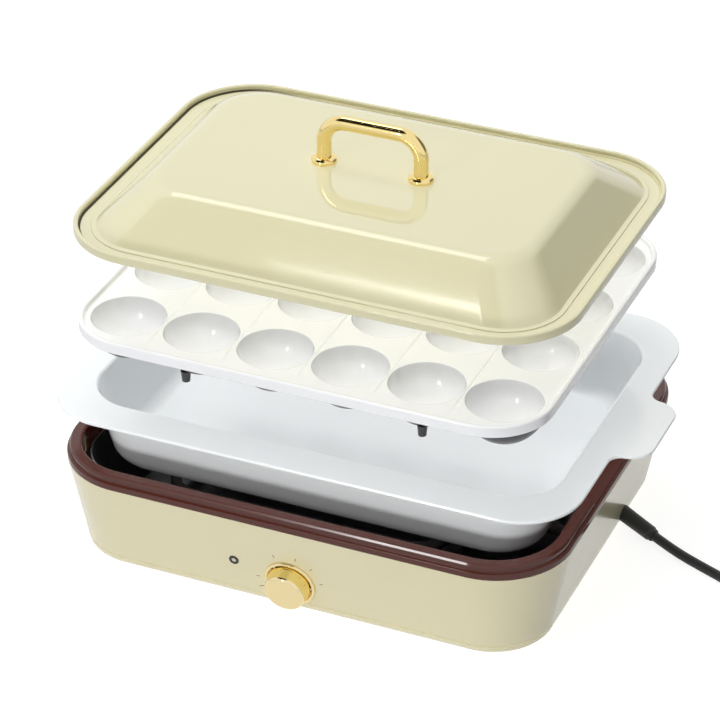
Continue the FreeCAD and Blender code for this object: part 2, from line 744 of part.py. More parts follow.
# Thermostat behind the bezel: a block with a neck, bored for the shaft and held by a nut.
thermostat_block = box("thermostat_block", "thermostat_width", "thermostat_height", "thermostat_depth",
                       z="-bezel_tail - thermostat_depth")
thermostat_neck = cylinder("thermostat_neck", NECK, "bezel_floor + nut_height", z="-bezel_tail")
thermostat_bore = cylinder("thermostat_bore", "shaft_diameter / 2 + running_gap", "3 * thermostat_depth",
                           z="-bezel_tail - 2 * thermostat_depth")
thermostat_solid = joined("thermostat_solid", [thermostat_block, thermostat_neck])
thermostat = cut("thermostat_cut", thermostat_solid, thermostat_bore)
keep(on_front(thermostat), "thermostat_body")
nut = turned("nut_turned", [(NECK, BEZEL_SEAT), ("nut_diameter / 2", BEZEL_SEAT),
                            ("nut_diameter / 2", f"{BEZEL_SEAT} + nut_height"),
                            (NECK, f"{BEZEL_SEAT} + nut_height")])
keep(on_front(nut), "thermostat_nut")

# Lamp: a clear lens in a dark holder.
LENS = "(lamp_diameter / 2 - lamp_wall)"
holder_points = [(LENS, "-lamp_length"), ("lamp_diameter / 2", "-lamp_length"), ("lamp_diameter / 2", "0"),
                 ("lamp_flange / 2", "0"), ("lamp_flange / 2", "lamp_flange_height"),
                 (LENS, "lamp_flange_height")]
holder = turned("lamp_holder_turned", holder_points)
keep(on_front(holder, "-lamp_x", "lamp_height"), "lamp_holder")
lens_points = [("0", "-lamp_length"), (LENS, "-lamp_length"), (LENS, "lamp_flange_height"),
               (f"{LENS} - lens_bevel", "lamp_flange_height + lens_rise - lens_step"),
               ("0", "lamp_flange_height + lens_rise")]
keep(on_front(turned("lamp_lens_turned", lens_points), "-lamp_x", "lamp_height"), "lamp_lens")

# Cord bushing: a soft boot snapped into the right wall, its sleeve turned to the front and drooping.
BUSHING_BACK = "(-shell_wall - bushing_inner_flange)"
BUSHING_FRONT = "(bushing_lip + bushing_shoulder)"
bushing_points = [("0", BUSHING_BACK), ("bushing_flange / 2", BUSHING_BACK),
                  ("bushing_flange / 2", "-shell_wall"), ("bushing_groove / 2", "-shell_wall"),
                  ("bushing_groove / 2", "0"), ("bushing_flange / 2", "0"),
                  ("bushing_flange / 2", "bushing_lip"), ("bushing_diameter / 2", BUSHING_FRONT),
                  ("0", BUSHING_FRONT)]
bushing_plug = on_right(turned("bushing_plug", bushing_points))
EXIT_X = f"(rim_width / 2 - ({RIM_BASE} - entry_height) * tan({TILT}) + {BUSHING_FRONT} * cos({TILT}))"
EXIT_Z = f"(entry_height - {BUSHING_FRONT} * sin({TILT}))"
SLEEVE_TIP = "(bushing_diameter / 2 - bushing_tip_step)"
sleeve_points = [("0", "0"), ("bushing_diameter / 2", "0"),
                 ("bushing_diameter / 2", "bushing_length - bushing_tip - bushing_tip_step"),
                 (SLEEVE_TIP, "bushing_length - bushing_tip"), (SLEEVE_TIP, "bushing_length"),
                 ("0", "bushing_length")]
sleeve = turned("bushing_sleeve", sleeve_points)
heading = math.radians(value("bushing_turn"))
droop = math.radians(value("bushing_droop"))
sleeve_way = FreeCAD.Vector(math.cos(heading) * math.cos(droop), -math.sin(heading) * math.cos(droop),
                            -math.sin(droop))
sleeve.Placement = FreeCAD.Placement(FreeCAD.Vector(), FreeCAD.Rotation(FreeCAD.Vector(0, 0, 1), sleeve_way))
sleeve_knuckle = doc.addObject("Part::Sphere", "sleeve_knuckle")
tie(sleeve_knuckle, "Radius", "bushing_diameter / 2")
for item in (sleeve, sleeve_knuckle):
    place(item, EXIT_X, "entry_y", EXIT_Z)
node(joined("cord_bushing_solid", [bushing_plug, sleeve, sleeve_knuckle]), "cord_bushing")

clamp = box("cord_clamp_block", "clamp_height", "clamp_width", "clamp_depth",
            z=f"{BUSHING_BACK} - clamp_depth")
keep(on_right(joined("cord_clamp_piece", [clamp], "Part::Compound")), "cord_clamp")

# Inner electrics along the front wall: a terminal block, a fuse in its sleeve and the leads between them.
terminal = box("terminal_solid", "terminal_width", "terminal_height", "terminal_depth",
               z="-shell_wall - terminal_depth")
keep(on_front(joined("terminal_piece", [terminal], "Part::Compound"), "terminal_x"), "terminal_block")
fuse = cylinder("fuse_solid", "fuse_diameter / 2", "fuse_length")
turned_to(fuse, FreeCAD.Vector(0, 1, 0), "90 deg")
FRONT_WALL = f"(rim_depth / 2 - ({RIM_BASE} - dial_height) * tan({TILT}))"
place(fuse, "fuse_x - fuse_length / 2", f"-{FRONT_WALL} + fuse_depth", "dial_height")
keep(fuse, "thermal_fuse")
leads = []
for number, (start, end) in enumerate([("fuse_x + fuse_length / 2", "-thermostat_width / 2"),
                                       ("thermostat_width / 2", "terminal_x - terminal_width / 2")]):
    lead = cylinder(f"lead_{number}", "lead_diameter / 2", f"({end}) - ({start})")
    turned_to(lead, FreeCAD.Vector(0, 1, 0), "90 deg")
    leads.append(place(lead, start, f"-{FRONT_WALL} + fuse_depth", "dial_height"))
node(joined("inner_leads", leads, "Part::Compound"), "inner_leads")

# Deep pan: a pressed tray with a flat flange all round and an ear on each short side.
PAN_Z = f"({RIM_TOP} + seat_gap + pan_lift)"
pan = new_body("pan_body")
flange = new_sketch(pan, "flange")
rounded(flange, FLANGE_WIDTH, "flange_depth", "flange_corner")
feature(flange, "Pad", "flange_thick")
ears = new_sketch(pan, "ears")
rounded(ears, f"{FLANGE_WIDTH} + 2 * ear_reach", "ear_length", "ear_corner")
flange_solid = feature(ears, "Pad", "flange_thick")
doc.recompute()


def upright_edges(base, x, y):
    """Name the upright edges of a solid that stand at a pair of distances from the middle."""
    names = []
    for index, edge in enumerate(base.Shape.Edges):
        box_of = edge.BoundBox
        if box_of.ZLength > 0.1 and box_of.XLength < 0.01 and box_of.YLength < 0.01:
            if abs(abs(box_of.XMin) - value(x)) < 0.05 and abs(abs(box_of.YMin) - value(y)) < 0.05:
                names.append(f"Edge{index + 1}")
    return names


ear_edges = upright_edges(flange_solid, f"{FLANGE_WIDTH} / 2", "ear_length / 2")
rounding(flange_solid, ear_edges, "ear_root", name="ear_roots")


def pan_outline(body, name, height, side, front, outward="0"):
    sketch = new_sketch(body, name, height)
    return rounded(sketch, f"{PAN_WIDTH} - 2 * ({side} - {outward})",
                   f"pan_depth - 2 * ({front} - {outward})", f"pan_corner - {side} / 2 + {outward}")


PAN_BOTTOM = "(flange_thick - pan_drop)"
tub = loft([pan_outline(pan, "tub_top", "0", "0", "0", "pan_wall"),
            pan_outline(pan, "tub_bottom", PAN_BOTTOM, "pan_side_inset", "pan_front_inset", "pan_wall")])
rounding(tub, loop_edges(tub, PAN_BOTTOM), "pan_floor_round", name="tub_round")
pan_space = new_body("pan_space_body")
HOLLOW_FLOOR = f"({PAN_BOTTOM} + pan_wall)"
space = loft([pan_outline(pan_space, "hollow_mouth", "flange_thick", "0", "0"),
              pan_outline(pan_space, "hollow_floor", HOLLOW_FLOOR, "pan_side_inset", "pan_front_inset")])
rounding(space, loop_edges(space, HOLLOW_FLOOR), "pan_floor_round - pan_wall", name="hollow_round")
node(cut("deep_pan_cut", pan, pan_space), "deep_pan", z=PAN_Z)

# Plate with round cups: one casting with a raised edge, a skirt, score lines, cups and four legs.
PLATE_Z = f"({PAN_Z} + flange_thick + seat_gap + leg_drop + plate_lift)"
plate = new_body("plate_body")
plate_outline = new_sketch(plate, "plate_outline", "-plate_skirt_drop")
rounded(plate_outline, "plate_width", "plate_depth", "plate_corner")
feature(plate_outline, "Pad", "plate_skirt_drop + plate_lip_height")
plate_top = new_sketch(plate, "plate_top", "plate_lip_height")
rounded(plate_top, "plate_width - 2 * plate_lip_wall", "plate_depth - 2 * plate_lip_wall",
        "plate_corner - plate_lip_wall")
plate_lip = feature(plate_top, "Pocket", "plate_lip_height")
plate_lip_edges = loop_edges(plate_lip, "plate_lip_height", inner=True)
rounding(plate_lip, plate_lip_edges, "plate_lip_round", name="lip_round")
plate_under = new_sketch(plate, "plate_under", "-plate_skirt_drop")
rounded(plate_under, "plate_width - 2 * plate_lip_wall", "plate_depth - 2 * plate_lip_wall",
        "plate_corner - plate_lip_wall")
feature(plate_under, "Pocket", "plate_skirt_drop - plate_thick", reverse=True)
scores = new_sketch(plate, "score_lines")
for line in range(-2, 3):
    rounded(scores, "score_width", "plate_depth - 2 * score_margin", "score_corner",
            x=f"{line} * cup_pitch_x")
feature(scores, "Pocket", "score_depth")
cup_outsides = []
cup_insides = []
for column in range(6):
    for row in range(4):
        x = f"{column - 2.5} * cup_pitch_x"
        y = f"{row - 1.5} * cup_pitch_y"
        outside = doc.addObject("Part::Sphere", f"cup_outside_{column}_{row}")
        tie(outside, "Radius", "cup_diameter / 2 + cup_wall")
        outside.Angle1 = -90
        outside.Angle2 = -1
        cup_outsides.append(place(outside, x, y))
        inside = doc.addObject("Part::Sphere", f"cup_inside_{column}_{row}")
        tie(inside, "Radius", "cup_diameter / 2")
        cup_insides.append(place(inside, x, y))
legs = []
for number, (x, y) in enumerate(corners_of("leg_x", "pan_depth / 2 + leg_stand_in")):
    leg = turned(f"leg_{number}", [("0", "-leg_drop"), ("leg_tip_diameter / 2", "-leg_drop"),
                                   ("leg_top_diameter / 2", "-plate_thick / 2"), ("0", "-plate_thick / 2")])
    legs.append(place(leg, x, y))
plate_full = joined("plate_full", [plate] + cup_outsides + legs)
node(cut("cup_plate_cut", plate_full, joined("cup_hollows", cup_insides)), "cup_plate", z=PLATE_Z)

# Lid: one pressed sheet. A raised lip runs round the edge, then a flat ledge, then the dome up to the deck.
LID_Z = f"({PLATE_Z} + plate_lip_height + seat_gap + lid_lift)"
lid = new_body("lid_body")
lid_rim = new_sketch(lid, "lid_rim")
feature(rounded(lid_rim, LID_WIDTH, "lid_depth", "lid_corner"), "Pad", "lid_lip_height")
lid_ledge = new_sketch(lid, "lid_ledge_outline", "lid_lip_height")
rounded(lid_ledge, f"{LID_WIDTH} - 2 * lid_lip_wall", "lid_depth - 2 * lid_lip_wall",
        "lid_corner - lid_lip_wall")
lid_rim_solid = feature(lid_ledge, "Pocket", "lid_lip_height - lid_ledge")
lip_edges = loop_edges(lid_rim_solid, "lid_lip_height", inner=True)
rounding(lid_rim_solid, lip_edges, "lid_lip_round", name="lip_round")


def dome_outline(body, name, height, part, inward="0"):
    """The dome's outline at its foot or at its deck."""
    sketch = new_sketch(body, name, height)
    if part == "foot":
        reach = f"(lid_lip_wall + lid_channel + {inward})"
        return rounded(sketch, f"{LID_WIDTH} - 2 * {reach}", f"lid_depth - 2 * {reach}",
                       f"lid_corner - {reach}")
    return rounded(sketch, f"deck_width - 2 * {inward}", f"deck_depth - 2 * {inward}",
                   f"deck_corner - {inward}")


dome = loft([dome_outline(lid, "dome_deck", "deck_height", "deck"),
             dome_outline(lid, "dome_foot", "lid_ledge", "foot")])
deck_rounding = rounding(dome, loop_edges(dome, "deck_height"), "deck_round", name="deck_round")
foot_edges = loop_edges(deck_rounding, "lid_ledge", inner=True, outer=False)
rounding(deck_rounding, foot_edges, "dome_foot_round", name="foot_round")
lid_space = new_body("lid_space_body")
DECK_UNDER = "(deck_height - lid_wall)"
lid_hollow = loft([dome_outline(lid_space, "space_deck", DECK_UNDER, "deck", "lid_wall / 2"),
                   dome_outline(lid_space, "space_foot", "0", "foot", "lid_wall")])
rounding(lid_hollow, loop_edges(lid_hollow, DECK_UNDER), "deck_round - lid_wall", name="space_round")
screw_passages = []
for side in (-1, 1):
    screw_passages.append(cylinder(f"lid_screw_hole_{side + 1}", "screw_diameter / 2", "deck_height",
                                   f"{side} * handle_spacing / 2", z="deck_height / 2"))
lid_cutters = joined("lid_cutters", [lid_space] + screw_passages)
node(cut("lid_shell_cut", lid, lid_cutters), "lid_shell", z=LID_Z)

# Lid handle: a round bar bent twice, its feet drilled from below for the screws.
DECK_Z = f"({LID_Z} + deck_height)"
handle = new_body("handle_body")
handle_route = new_sketch(handle, "handle_route", role="XZ_Plane")
FOOT_TOP = "collar_height"
BAR_Z = "(handle_rise - handle_diameter / 2)"
rounded_line(handle_route, [("-handle_spacing / 2", FOOT_TOP), ("-handle_spacing / 2", BAR_Z),
                            ("handle_spacing / 2", BAR_Z), ("handle_spacing / 2", FOOT_TOP)],
             "handle_bend", closed=False)
handle_section = new_sketch(handle, "handle_section", FOOT_TOP)
disc(handle_section, "handle_diameter / 2", "-handle_spacing / 2")
handle_pipe = handle.newObject("PartDesign::AdditivePipe", "handle_pipe")
handle_pipe.Profile = handle_section
handle_pipe.Spine = (handle_route, [])
handle_holes = new_sketch(handle, "handle_holes", FOOT_TOP)
for side in (-1, 1):
    disc(handle_holes, "screw_diameter / 2", f"{side} * handle_spacing / 2")
feature(handle_holes, "Pocket", "handle_bore_depth", reverse=True)
node(handle, "lid_handle", z=DECK_Z)


def at_feet(name, points, z):
    """One turned piece under each foot of the handle."""
    pieces = []
    for side in (-1, 1):
        pieces.append(place(turned(f"{name}_{side + 1}", points), f"{side} * handle_spacing / 2", z=z))
    return joined(name, pieces, "Part::Compound")


COLLAR_BORE = "(screw_diameter / 2)"
collar_points = [(COLLAR_BORE, "0"), ("collar_diameter / 2 - collar_bevel", "0"),
                 ("collar_diameter / 2", "collar_bevel"),
                 ("collar_diameter / 2", "collar_height - collar_slope"),
                 ("handle_diameter / 2 + collar_ledge", "collar_height"), (COLLAR_BORE, "collar_height")]
node(at_feet("collar", collar_points, "0"), "handle_collars", z=DECK_Z)
WASHER_Z = "(-lid_wall - washer_height)"
washer_points = [(COLLAR_BORE, WASHER_Z), ("washer_diameter / 2", WASHER_Z),
                 ("washer_diameter / 2", "-lid_wall"), (COLLAR_BORE, "-lid_wall")]
node(at_feet("washer", washer_points, "0"), "handle_washers", z=DECK_Z)
SCREW_LENGTH = "(washer_height + lid_wall + collar_height + handle_screw_bite)"
handle_screws = []
for side in (-1, 1):
    one = screw(f"handle_screw_{side + 1}", SCREW_LENGTH)
    handle_screws.append(place(one, f"{side} * handle_spacing / 2", z=f"{WASHER_Z} - screw_head_height"))
node(joined("handle_screw_group", handle_screws, "Part::Compound"), "handle_screws", z=DECK_Z)

# Mains lead. The points of its free route are chosen by hand. The coil is a spiral in and out again.
CORD = value("cord_diameter")
COIL_PITCH = value("coil_pitch")
COIL_TURNS = value("coil_turns")
COIL_REACH = value("coil_middle_diameter") / 2 + COIL_TURNS / 4 * COIL_PITCH
COIL_HEADING = math.radians(value("coil_heading"))
COIL_START = FreeCAD.Vector(value("coil_start_x"), value("coil_start_y"),
                            value("cord_diameter / 2 + tie_wall + tie_gap"))
COIL_SIDE = FreeCAD.Vector(-math.sin(COIL_HEADING), math.cos(COIL_HEADING), 0)
COIL_WAY = FreeCAD.Vector(math.cos(COIL_HEADING), math.sin(COIL_HEADING), 0)
COIL_CENTRE = COIL_START + COIL_SIDE * COIL_REACH
SLEEVE_ROOT = FreeCAD.Vector(value(EXIT_X), value("entry_y + set_back"), value(EXIT_Z))
SLEEVE_END = SLEEVE_ROOT + sleeve_way * value("bushing_length")


def tube(path, diameter):
    """Sweep a round section along an unbroken path of straight and curved edges."""
    first = path.Edges[0]
    start = first.valueAt(first.FirstParameter)
    way = first.tangentAt(first.FirstParameter)
    section = Part.Wire([Part.Circle(start, way, diameter / 2).toShape()])
    return path.makePipeShell([section], True, False)


def rounded_path(points):
    """Straight runs joined by tangent arcs, each arc as large as its two runs allow."""
    edges = []
    radii = []
    here = points[0]
    for before, corner, after in zip(points, points[1:], points[2:]):
        back = (before - corner)
        ahead = (after - corner)
        turn = math.pi - back.getAngle(ahead)
        reach = 0.45 * min(back.Length, ahead.Length)
        radii.append(reach / math.tan(turn / 2))
        back.normalize()
        ahead.normalize()
        start = corner + back * reach
        end = corner + ahead * reach
        inward = (back + ahead).normalize()
        middle = corner + inward * (radii[-1] / math.cos(turn / 2) - radii[-1])
        edges.append(Part.LineSegment(here, start).toShape())
        edges.append(Part.Arc(start, middle, end).toShape())
        here = end
    edges.append(Part.LineSegment(here, points[-1]).toShape())
    return Part.Wire(edges), radii


def lead_piece(label, points):
    """A free stretch of the lead along its route."""
    path, radii = rounded_path(points)
    solid = tube(path, CORD)
    expected = math.pi * CORD ** 2 / 4 * path.Length
    print(label, "length", round(path.Length, 1), "radii", [round(radius, 1) for radius in radii],
          "volume against section times length", round(solid.Volume / expected, 5))
    piece = doc.addObject("Part::Feature", label)
    piece.Shape = solid
    NODES.append(piece)
    return path


ROUTE = [SLEEVE_END,
         SLEEVE_END + sleeve_way * value("bushing_lead_out"),
         FreeCAD.Vector(211.0, 16.5, 3.4),
         FreeCAD.Vector(231.0, 8.6, 3.0),
         COIL_START - COIL_WAY * value("coil_lead_in"),
         COIL_START]
lead_piece("mains_cord", ROUTE)

# Coil: radius and height follow the angle turned. It draws in at a steady rate over the first half,
# climbs one layer in the half turn where it reverses, and draws out again over the rest.
HALF = COIL_TURNS * math.pi


def coil_place(angle):
    """Centre of the lead in the coil, for an angle from the start of the first turn."""
    rate = COIL_PITCH / (2 * math.pi)
    past = angle - HALF
    if abs(past) < math.pi / 2:
        draw = past ** 2 / math.pi + math.pi / 4
        share = past / math.pi + 0.5
        climb = share * share * (3 - 2 * share)
    else:
        draw = abs(past)
        climb = 0 if past < 0 else 1
    radius = COIL_REACH - rate * (HALF - draw)
    turned_by = COIL_HEADING - math.pi / 2 + angle
    return COIL_CENTRE + FreeCAD.Vector(radius * math.cos(turned_by), radius * math.sin(turned_by),
                                        climb * COIL_PITCH)


def coil_way(angle):
    """Direction of the lead in the coil."""
    step = 0.001
    return (coil_place(angle + step) - coil_place(angle - step)).normalize()


def tangent_arc(start, way, end):
    """The arc that leaves a point in one direction and ends at another point."""
    chord = end - start
    bulge = chord.Length / 2 * math.tan(way.getAngle(chord) / 2)
    outward = (way - chord * ((way * chord) / chord.Length ** 2)).normalize()
    return Part.Arc(start, (start + end) * 0.5 + outward * bulge, end).toShape()


def two_arcs(start, start_way, end, end_way):
    """Two arcs that join two points and keep both directions."""
    gap = end - start
    both = start_way + end_way
    lean = 2 * (1 - start_way * end_way)
    along = gap * both
    reach = (math.sqrt(along ** 2 + lean * gap.Length ** 2) - along) / lean
    join = (start + start_way * reach + end - end_way * reach) * 0.5
    first = tangent_arc(start, start_way, join)
    second = tangent_arc(end, end_way * -1, join)
    return [first, second]


quarters = int(round(COIL_TURNS * 4))
angles = [step * math.pi / 2 for step in range(quarters + 1)]
coil_edges = []
for first, last in zip(angles, angles[1:]):
    way_in = COIL_WAY if first == angles[0] else coil_way(first)
    way_out = COIL_WAY if last == angles[-1] else coil_way(last)
    coil_edges.extend(two_arcs(coil_place(first), way_in, coil_place(last), way_out))
COIL_END = coil_place(angles[-1])
coil_edges.append(Part.LineSegment(COIL_END, COIL_END + COIL_WAY * CORD).toShape())
coil_path = Part.Wire(Part.__sortEdges__(coil_edges))
coil_solid = tube(coil_path, CORD)
HALF_TURN = 36
samples = [coil_place(step * math.pi / HALF_TURN) for step in range(int(COIL_TURNS * 2 * HALF_TURN) + 1)]
closest = min((samples[near] - samples[far]).Length
              for near in range(len(samples)) for far in range(near + HALF_TURN, len(samples)))
expected_volume = math.pi * CORD ** 2 / 4 * coil_path.Length
print("cord_coil length", round(coil_path.Length, 1), "least gap to itself", round(closest - CORD, 2),
      "volume against section times length", round(coil_solid.Volume / expected_volume, 5))
coil = doc.addObject("Part::Feature", "cord_coil")
coil.Shape = coil_solid
NODES.append(coil)

# Tie: a band round all the turns on the far side of the coil.
TURNS_WIDTH = "(coil_turns / 2 * coil_pitch + cord_diameter + 2 * tie_gap)"
TURNS_HEIGHT = "(coil_pitch + cord_diameter + 2 * tie_gap)"
tie_outer = box("tie_outer", f"{TURNS_WIDTH} + 2 * tie_wall", "tie_width", f"{TURNS_HEIGHT} + 2 * tie_wall")
tie_inner = box("tie_inner", TURNS_WIDTH, "2 * tie_width", TURNS_HEIGHT, z="tie_wall")
coil_tie = cut("coil_tie_cut", tie_outer, tie_inner)
tie_turn = COIL_HEADING + math.pi / 2
tie_reach = FreeCAD.Vector(math.cos(tie_turn), math.sin(tie_turn), 0) * value("coil_middle_diameter / 2")
coil_tie.Placement = FreeCAD.Placement(FreeCAD.Vector(COIL_CENTRE.x, COIL_CENTRE.y, 0) + tie_reach,
                                       FreeCAD.Rotation(FreeCAD.Vector(0, 0, 1), math.degrees(tie_turn)))
coil_tie.Label = "coil_tie"
NODES.append(coil_tie)

# The lead's last stretch leaves the coil and comes down to the plug, which lies beside the coil.
END_START = COIL_END + COIL_WAY * CORD
PLUG_TURN = FreeCAD.Rotation(FreeCAD.Vector(0, 0, 1), value("mains_plug_turn"))
PLUG_WAY = PLUG_TURN.multVec(FreeCAD.Vector(1, 0, 0))
PLUG_REAR = FreeCAD.Vector(END_START.x + value("mains_plug_ahead"), END_START.y + value("mains_plug_aside"),
                           value("mains_plug_height / 2"))
lead_piece("mains_cord_end", [END_START, END_START + COIL_WAY * value("coil_lead_out"),
                              PLUG_REAR - PLUG_WAY * value("mains_plug_lead_in"), PLUG_REAR])
mains_plug = new_body("plug_body")
plug_back = new_sketch(mains_plug, "plug_back", "0", "YZ_Plane")
rounded(plug_back, "mains_plug_width * mains_plug_taper", "mains_plug_height * mains_plug_taper",
        "mains_plug_round * mains_plug_taper")
plug_front = new_sketch(mains_plug, "plug_front", "mains_plug_length", "YZ_Plane")
rounded(plug_front, "mains_plug_width", "mains_plug_height", "mains_plug_round")
loft([plug_front, plug_back])
mains_plug.Label = "mains_plug"
mains_plug.Placement = FreeCAD.Placement(PLUG_REAR, PLUG_TURN)
NODES.append(mains_plug)
blades = []
for side in (-1, 1):
    blade = box(f"blade_{side + 1}", "blade_length", "blade_thick", "blade_width",
                "mains_plug_length + blade_length / 2", f"{side} * blade_spacing / 2", "-blade_width / 2")
    blades.append(blade)
blade_pair = joined("blade_pair", blades, "Part::Compound")
blade_pair.Label = "plug_blades"
blade_pair.Placement = FreeCAD.Placement(PLUG_REAR, PLUG_TURN)
NODES.append(blade_pair)

doc.recompute()
failed = [item.Name for item in doc.Objects if "Invalid" in item.State or "Error" in item.State]
if failed:
    raise RuntimeError("these objects did not build: " + ", ".join(failed))
for piece in NODES:
    if piece.Shape.isNull() or not piece.Shape.isValid():
        raise RuntimeError("no valid shape: " + piece.Label)
os.makedirs("parts", exist_ok=True)
for piece in NODES:
    piece.Shape.exportStep(f"parts/{piece.Label}.step")
print(len(NODES), "pieces written")
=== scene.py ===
import math

import bmesh
import bpy
from mathutils import Matrix, Vector


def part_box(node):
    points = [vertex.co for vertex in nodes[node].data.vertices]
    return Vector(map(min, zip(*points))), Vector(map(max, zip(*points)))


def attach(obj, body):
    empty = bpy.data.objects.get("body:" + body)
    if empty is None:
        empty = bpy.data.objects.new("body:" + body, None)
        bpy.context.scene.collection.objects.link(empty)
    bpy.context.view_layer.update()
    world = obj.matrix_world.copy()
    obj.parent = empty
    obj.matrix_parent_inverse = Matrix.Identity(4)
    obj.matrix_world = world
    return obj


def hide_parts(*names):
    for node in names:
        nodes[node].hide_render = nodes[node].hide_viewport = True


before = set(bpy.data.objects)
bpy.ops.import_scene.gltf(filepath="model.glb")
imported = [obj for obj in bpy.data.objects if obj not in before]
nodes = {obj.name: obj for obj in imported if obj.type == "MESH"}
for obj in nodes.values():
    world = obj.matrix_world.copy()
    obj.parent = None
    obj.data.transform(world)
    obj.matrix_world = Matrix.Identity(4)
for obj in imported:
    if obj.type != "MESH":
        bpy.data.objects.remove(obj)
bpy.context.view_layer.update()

# Base shell. The heater base's outer wall is one moulded shell with sloping sides and round corners,
# painted glossy cream outside; its inner faces take a dark brown, painted shade of the hollow under the
# pan. It stands on the bottom cover and carries the brown ring on its top edge.
shell_low, shell_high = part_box("base_shell")
ring_low, ring_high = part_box("rim_ring")
WALL_SLOPE = math.radians(10.8)
WALL_DRAFT = math.tan(WALL_SLOPE)
CORNER_RADIUS = 0.048
SHELL_WALL = 0.0022
SHELL_RAISE = 0.0044
SHELL_EDGE = 0.0003
MIDDLE_Y = (ring_low.y + ring_high.y) / 2
RING_HALF_X = (ring_high.x - ring_low.x) / 2
RING_HALF_Y = (ring_high.y - ring_low.y) / 2
WALL_TOP = shell_high.z
CORNER_STEPS = 20


def outline(half_x, half_y, corner, height):
    """Points of a rectangle with round corners, anticlockwise from the right end of the front side."""
    points = []
    for side_x, side_y, start in ((1, -1, -90), (1, 1, 0), (-1, 1, 90), (-1, -1, 180)):
        centre_x = side_x * (half_x - corner)
        centre_y = MIDDLE_Y + side_y * (half_y - corner)
        for step in range(CORNER_STEPS + 1):
            angle = math.radians(start + 90 * step / CORNER_STEPS)
            points.append((centre_x + corner * math.cos(angle), centre_y + corner * math.sin(angle), height))
    return points


def bend_through(before, corner, after, radius, steps):
    """Stations of a round bend in a profile, from one leg to the other."""
    def leg(end):
        return math.hypot(end[0] - corner[0], end[3] - corner[3])

    def along(end, distance):
        share = distance / leg(end)
        return [c + (e - c) * share for c, e in zip(corner, end)]

    ways = [((end[0] - corner[0]) / leg(end), (end[3] - corner[3]) / leg(end)) for end in (before, after)]
    between = math.acos(max(-1, min(1, ways[0][0] * ways[1][0] + ways[0][1] * ways[1][1])))
    reach = radius / math.tan(between / 2)
    first, last = along(before, reach), along(after, reach)
    weight = math.sin(between / 2)
    bend = []
    for step in range(steps + 1):
        share = step / steps
        parts = ((1 - share) ** 2, 2 * share * (1 - share) * weight, share ** 2)
        total = sum(parts)
        bend.append([(a * parts[0] + c * parts[1] + b * parts[2]) / total
                     for a, c, b in zip(first, corner, last)])
    return bend


def profile(stations, closed=True, steps=6):
    """Round the stations of a wall's section. A station is half x, half y, corner, height and bend radius."""
    rounded = []
    count = len(stations)
    for index, station in enumerate(stations):
        inside = closed or 0 < index < count - 1
        if station[4] and inside:
            before, after = stations[index - 1], stations[(index + 1) % count]
            rounded += bend_through(before[:4], station[:4], after[:4], station[4], steps)
        else:
            rounded.append(list(station[:4]))
    return rounded


def wall_mesh(name, stations, closed=True):
    """Skin a section that is carried round the outline, closed in itself or capped at both ends."""
    mesh = bpy.data.meshes.new(name)
    rings = [outline(*station) for station in stations]
    count = len(rings[0])
    points = [point for ring in rings for point in ring]
    faces = []
    for ring in range(len(rings) if closed else len(rings) - 1):
        following = (ring + 1) % len(rings)
        for index in range(count):
            beside = (index + 1) % count
            faces.append((ring * count + index, ring * count + beside,
                          following * count + beside, following * count + index))
    if not closed:
        faces.append(tuple(reversed(range(count))))
        faces.append(tuple(range((len(rings) - 1) * count, len(rings) * count)))
    mesh.from_pydata(points, [], faces)
    return finished(mesh, name)


def finished(mesh, name, sharp=40):
    """Make an object of a mesh, its normals outwards, smooth but for its sharp edges."""
    same_point = 1e-7
    form = bmesh.new()
    form.from_mesh(mesh)
    bmesh.ops.remove_doubles(form, verts=form.verts, dist=same_point)
    bmesh.ops.recalc_face_normals(form, faces=form.faces)
    form.to_mesh(mesh)
    form.free()
    mesh.shade_smooth()
    mesh.set_sharp_from_angle(angle=math.radians(sharp))
    piece = bpy.data.objects.new(name, mesh)
    bpy.context.scene.collection.objects.link(piece)
    even_shading(piece)
    return piece


def even_shading(piece):
    """Large faces keep their own direction in the shading, so that they mirror as flat sheets do."""
    weighting = piece.modifiers.new("even_shading", "WEIGHTED_NORMAL")
    weighting.keep_sharp = True


def paint(red, green, blue):
    """A colour as it looks on a screen, in the linear values that a shader takes."""
    def linear(level):
        level /= 255
        return level / 12.92 if level <= 0.04045 else ((level + 0.055) / 1.055) ** 2.4

    return (linear(red), linear(green), linear(blue), 1)


def passage(tree, source, from_low, from_high, to_low, to_high, soft=False):
    """Takes a value from one level to another while its source passes through a range."""
    ranged = tree.nodes.new("ShaderNodeMapRange")
    if soft:
        ranged.interpolation_type = "SMOOTHSTEP"
    for socket, level in (("From Min", from_low), ("From Max", from_high),
                          ("To Min", to_low), ("To Max", to_high)):
        ranged.inputs[socket].default_value = level
    tree.links.new(source, ranged.inputs["Value"])
    return ranged.outputs["Result"]


def reckon(tree, operation, *values):
    """One step of arithmetic on a shader's values and plain numbers."""
    step = tree.nodes.new("ShaderNodeMath")
    step.operation = operation
    for socket, value in zip(step.inputs, values):
        if isinstance(value, (int, float)):
            socket.default_value = value
        else:
            tree.links.new(value, socket)
    return step.outputs[0]


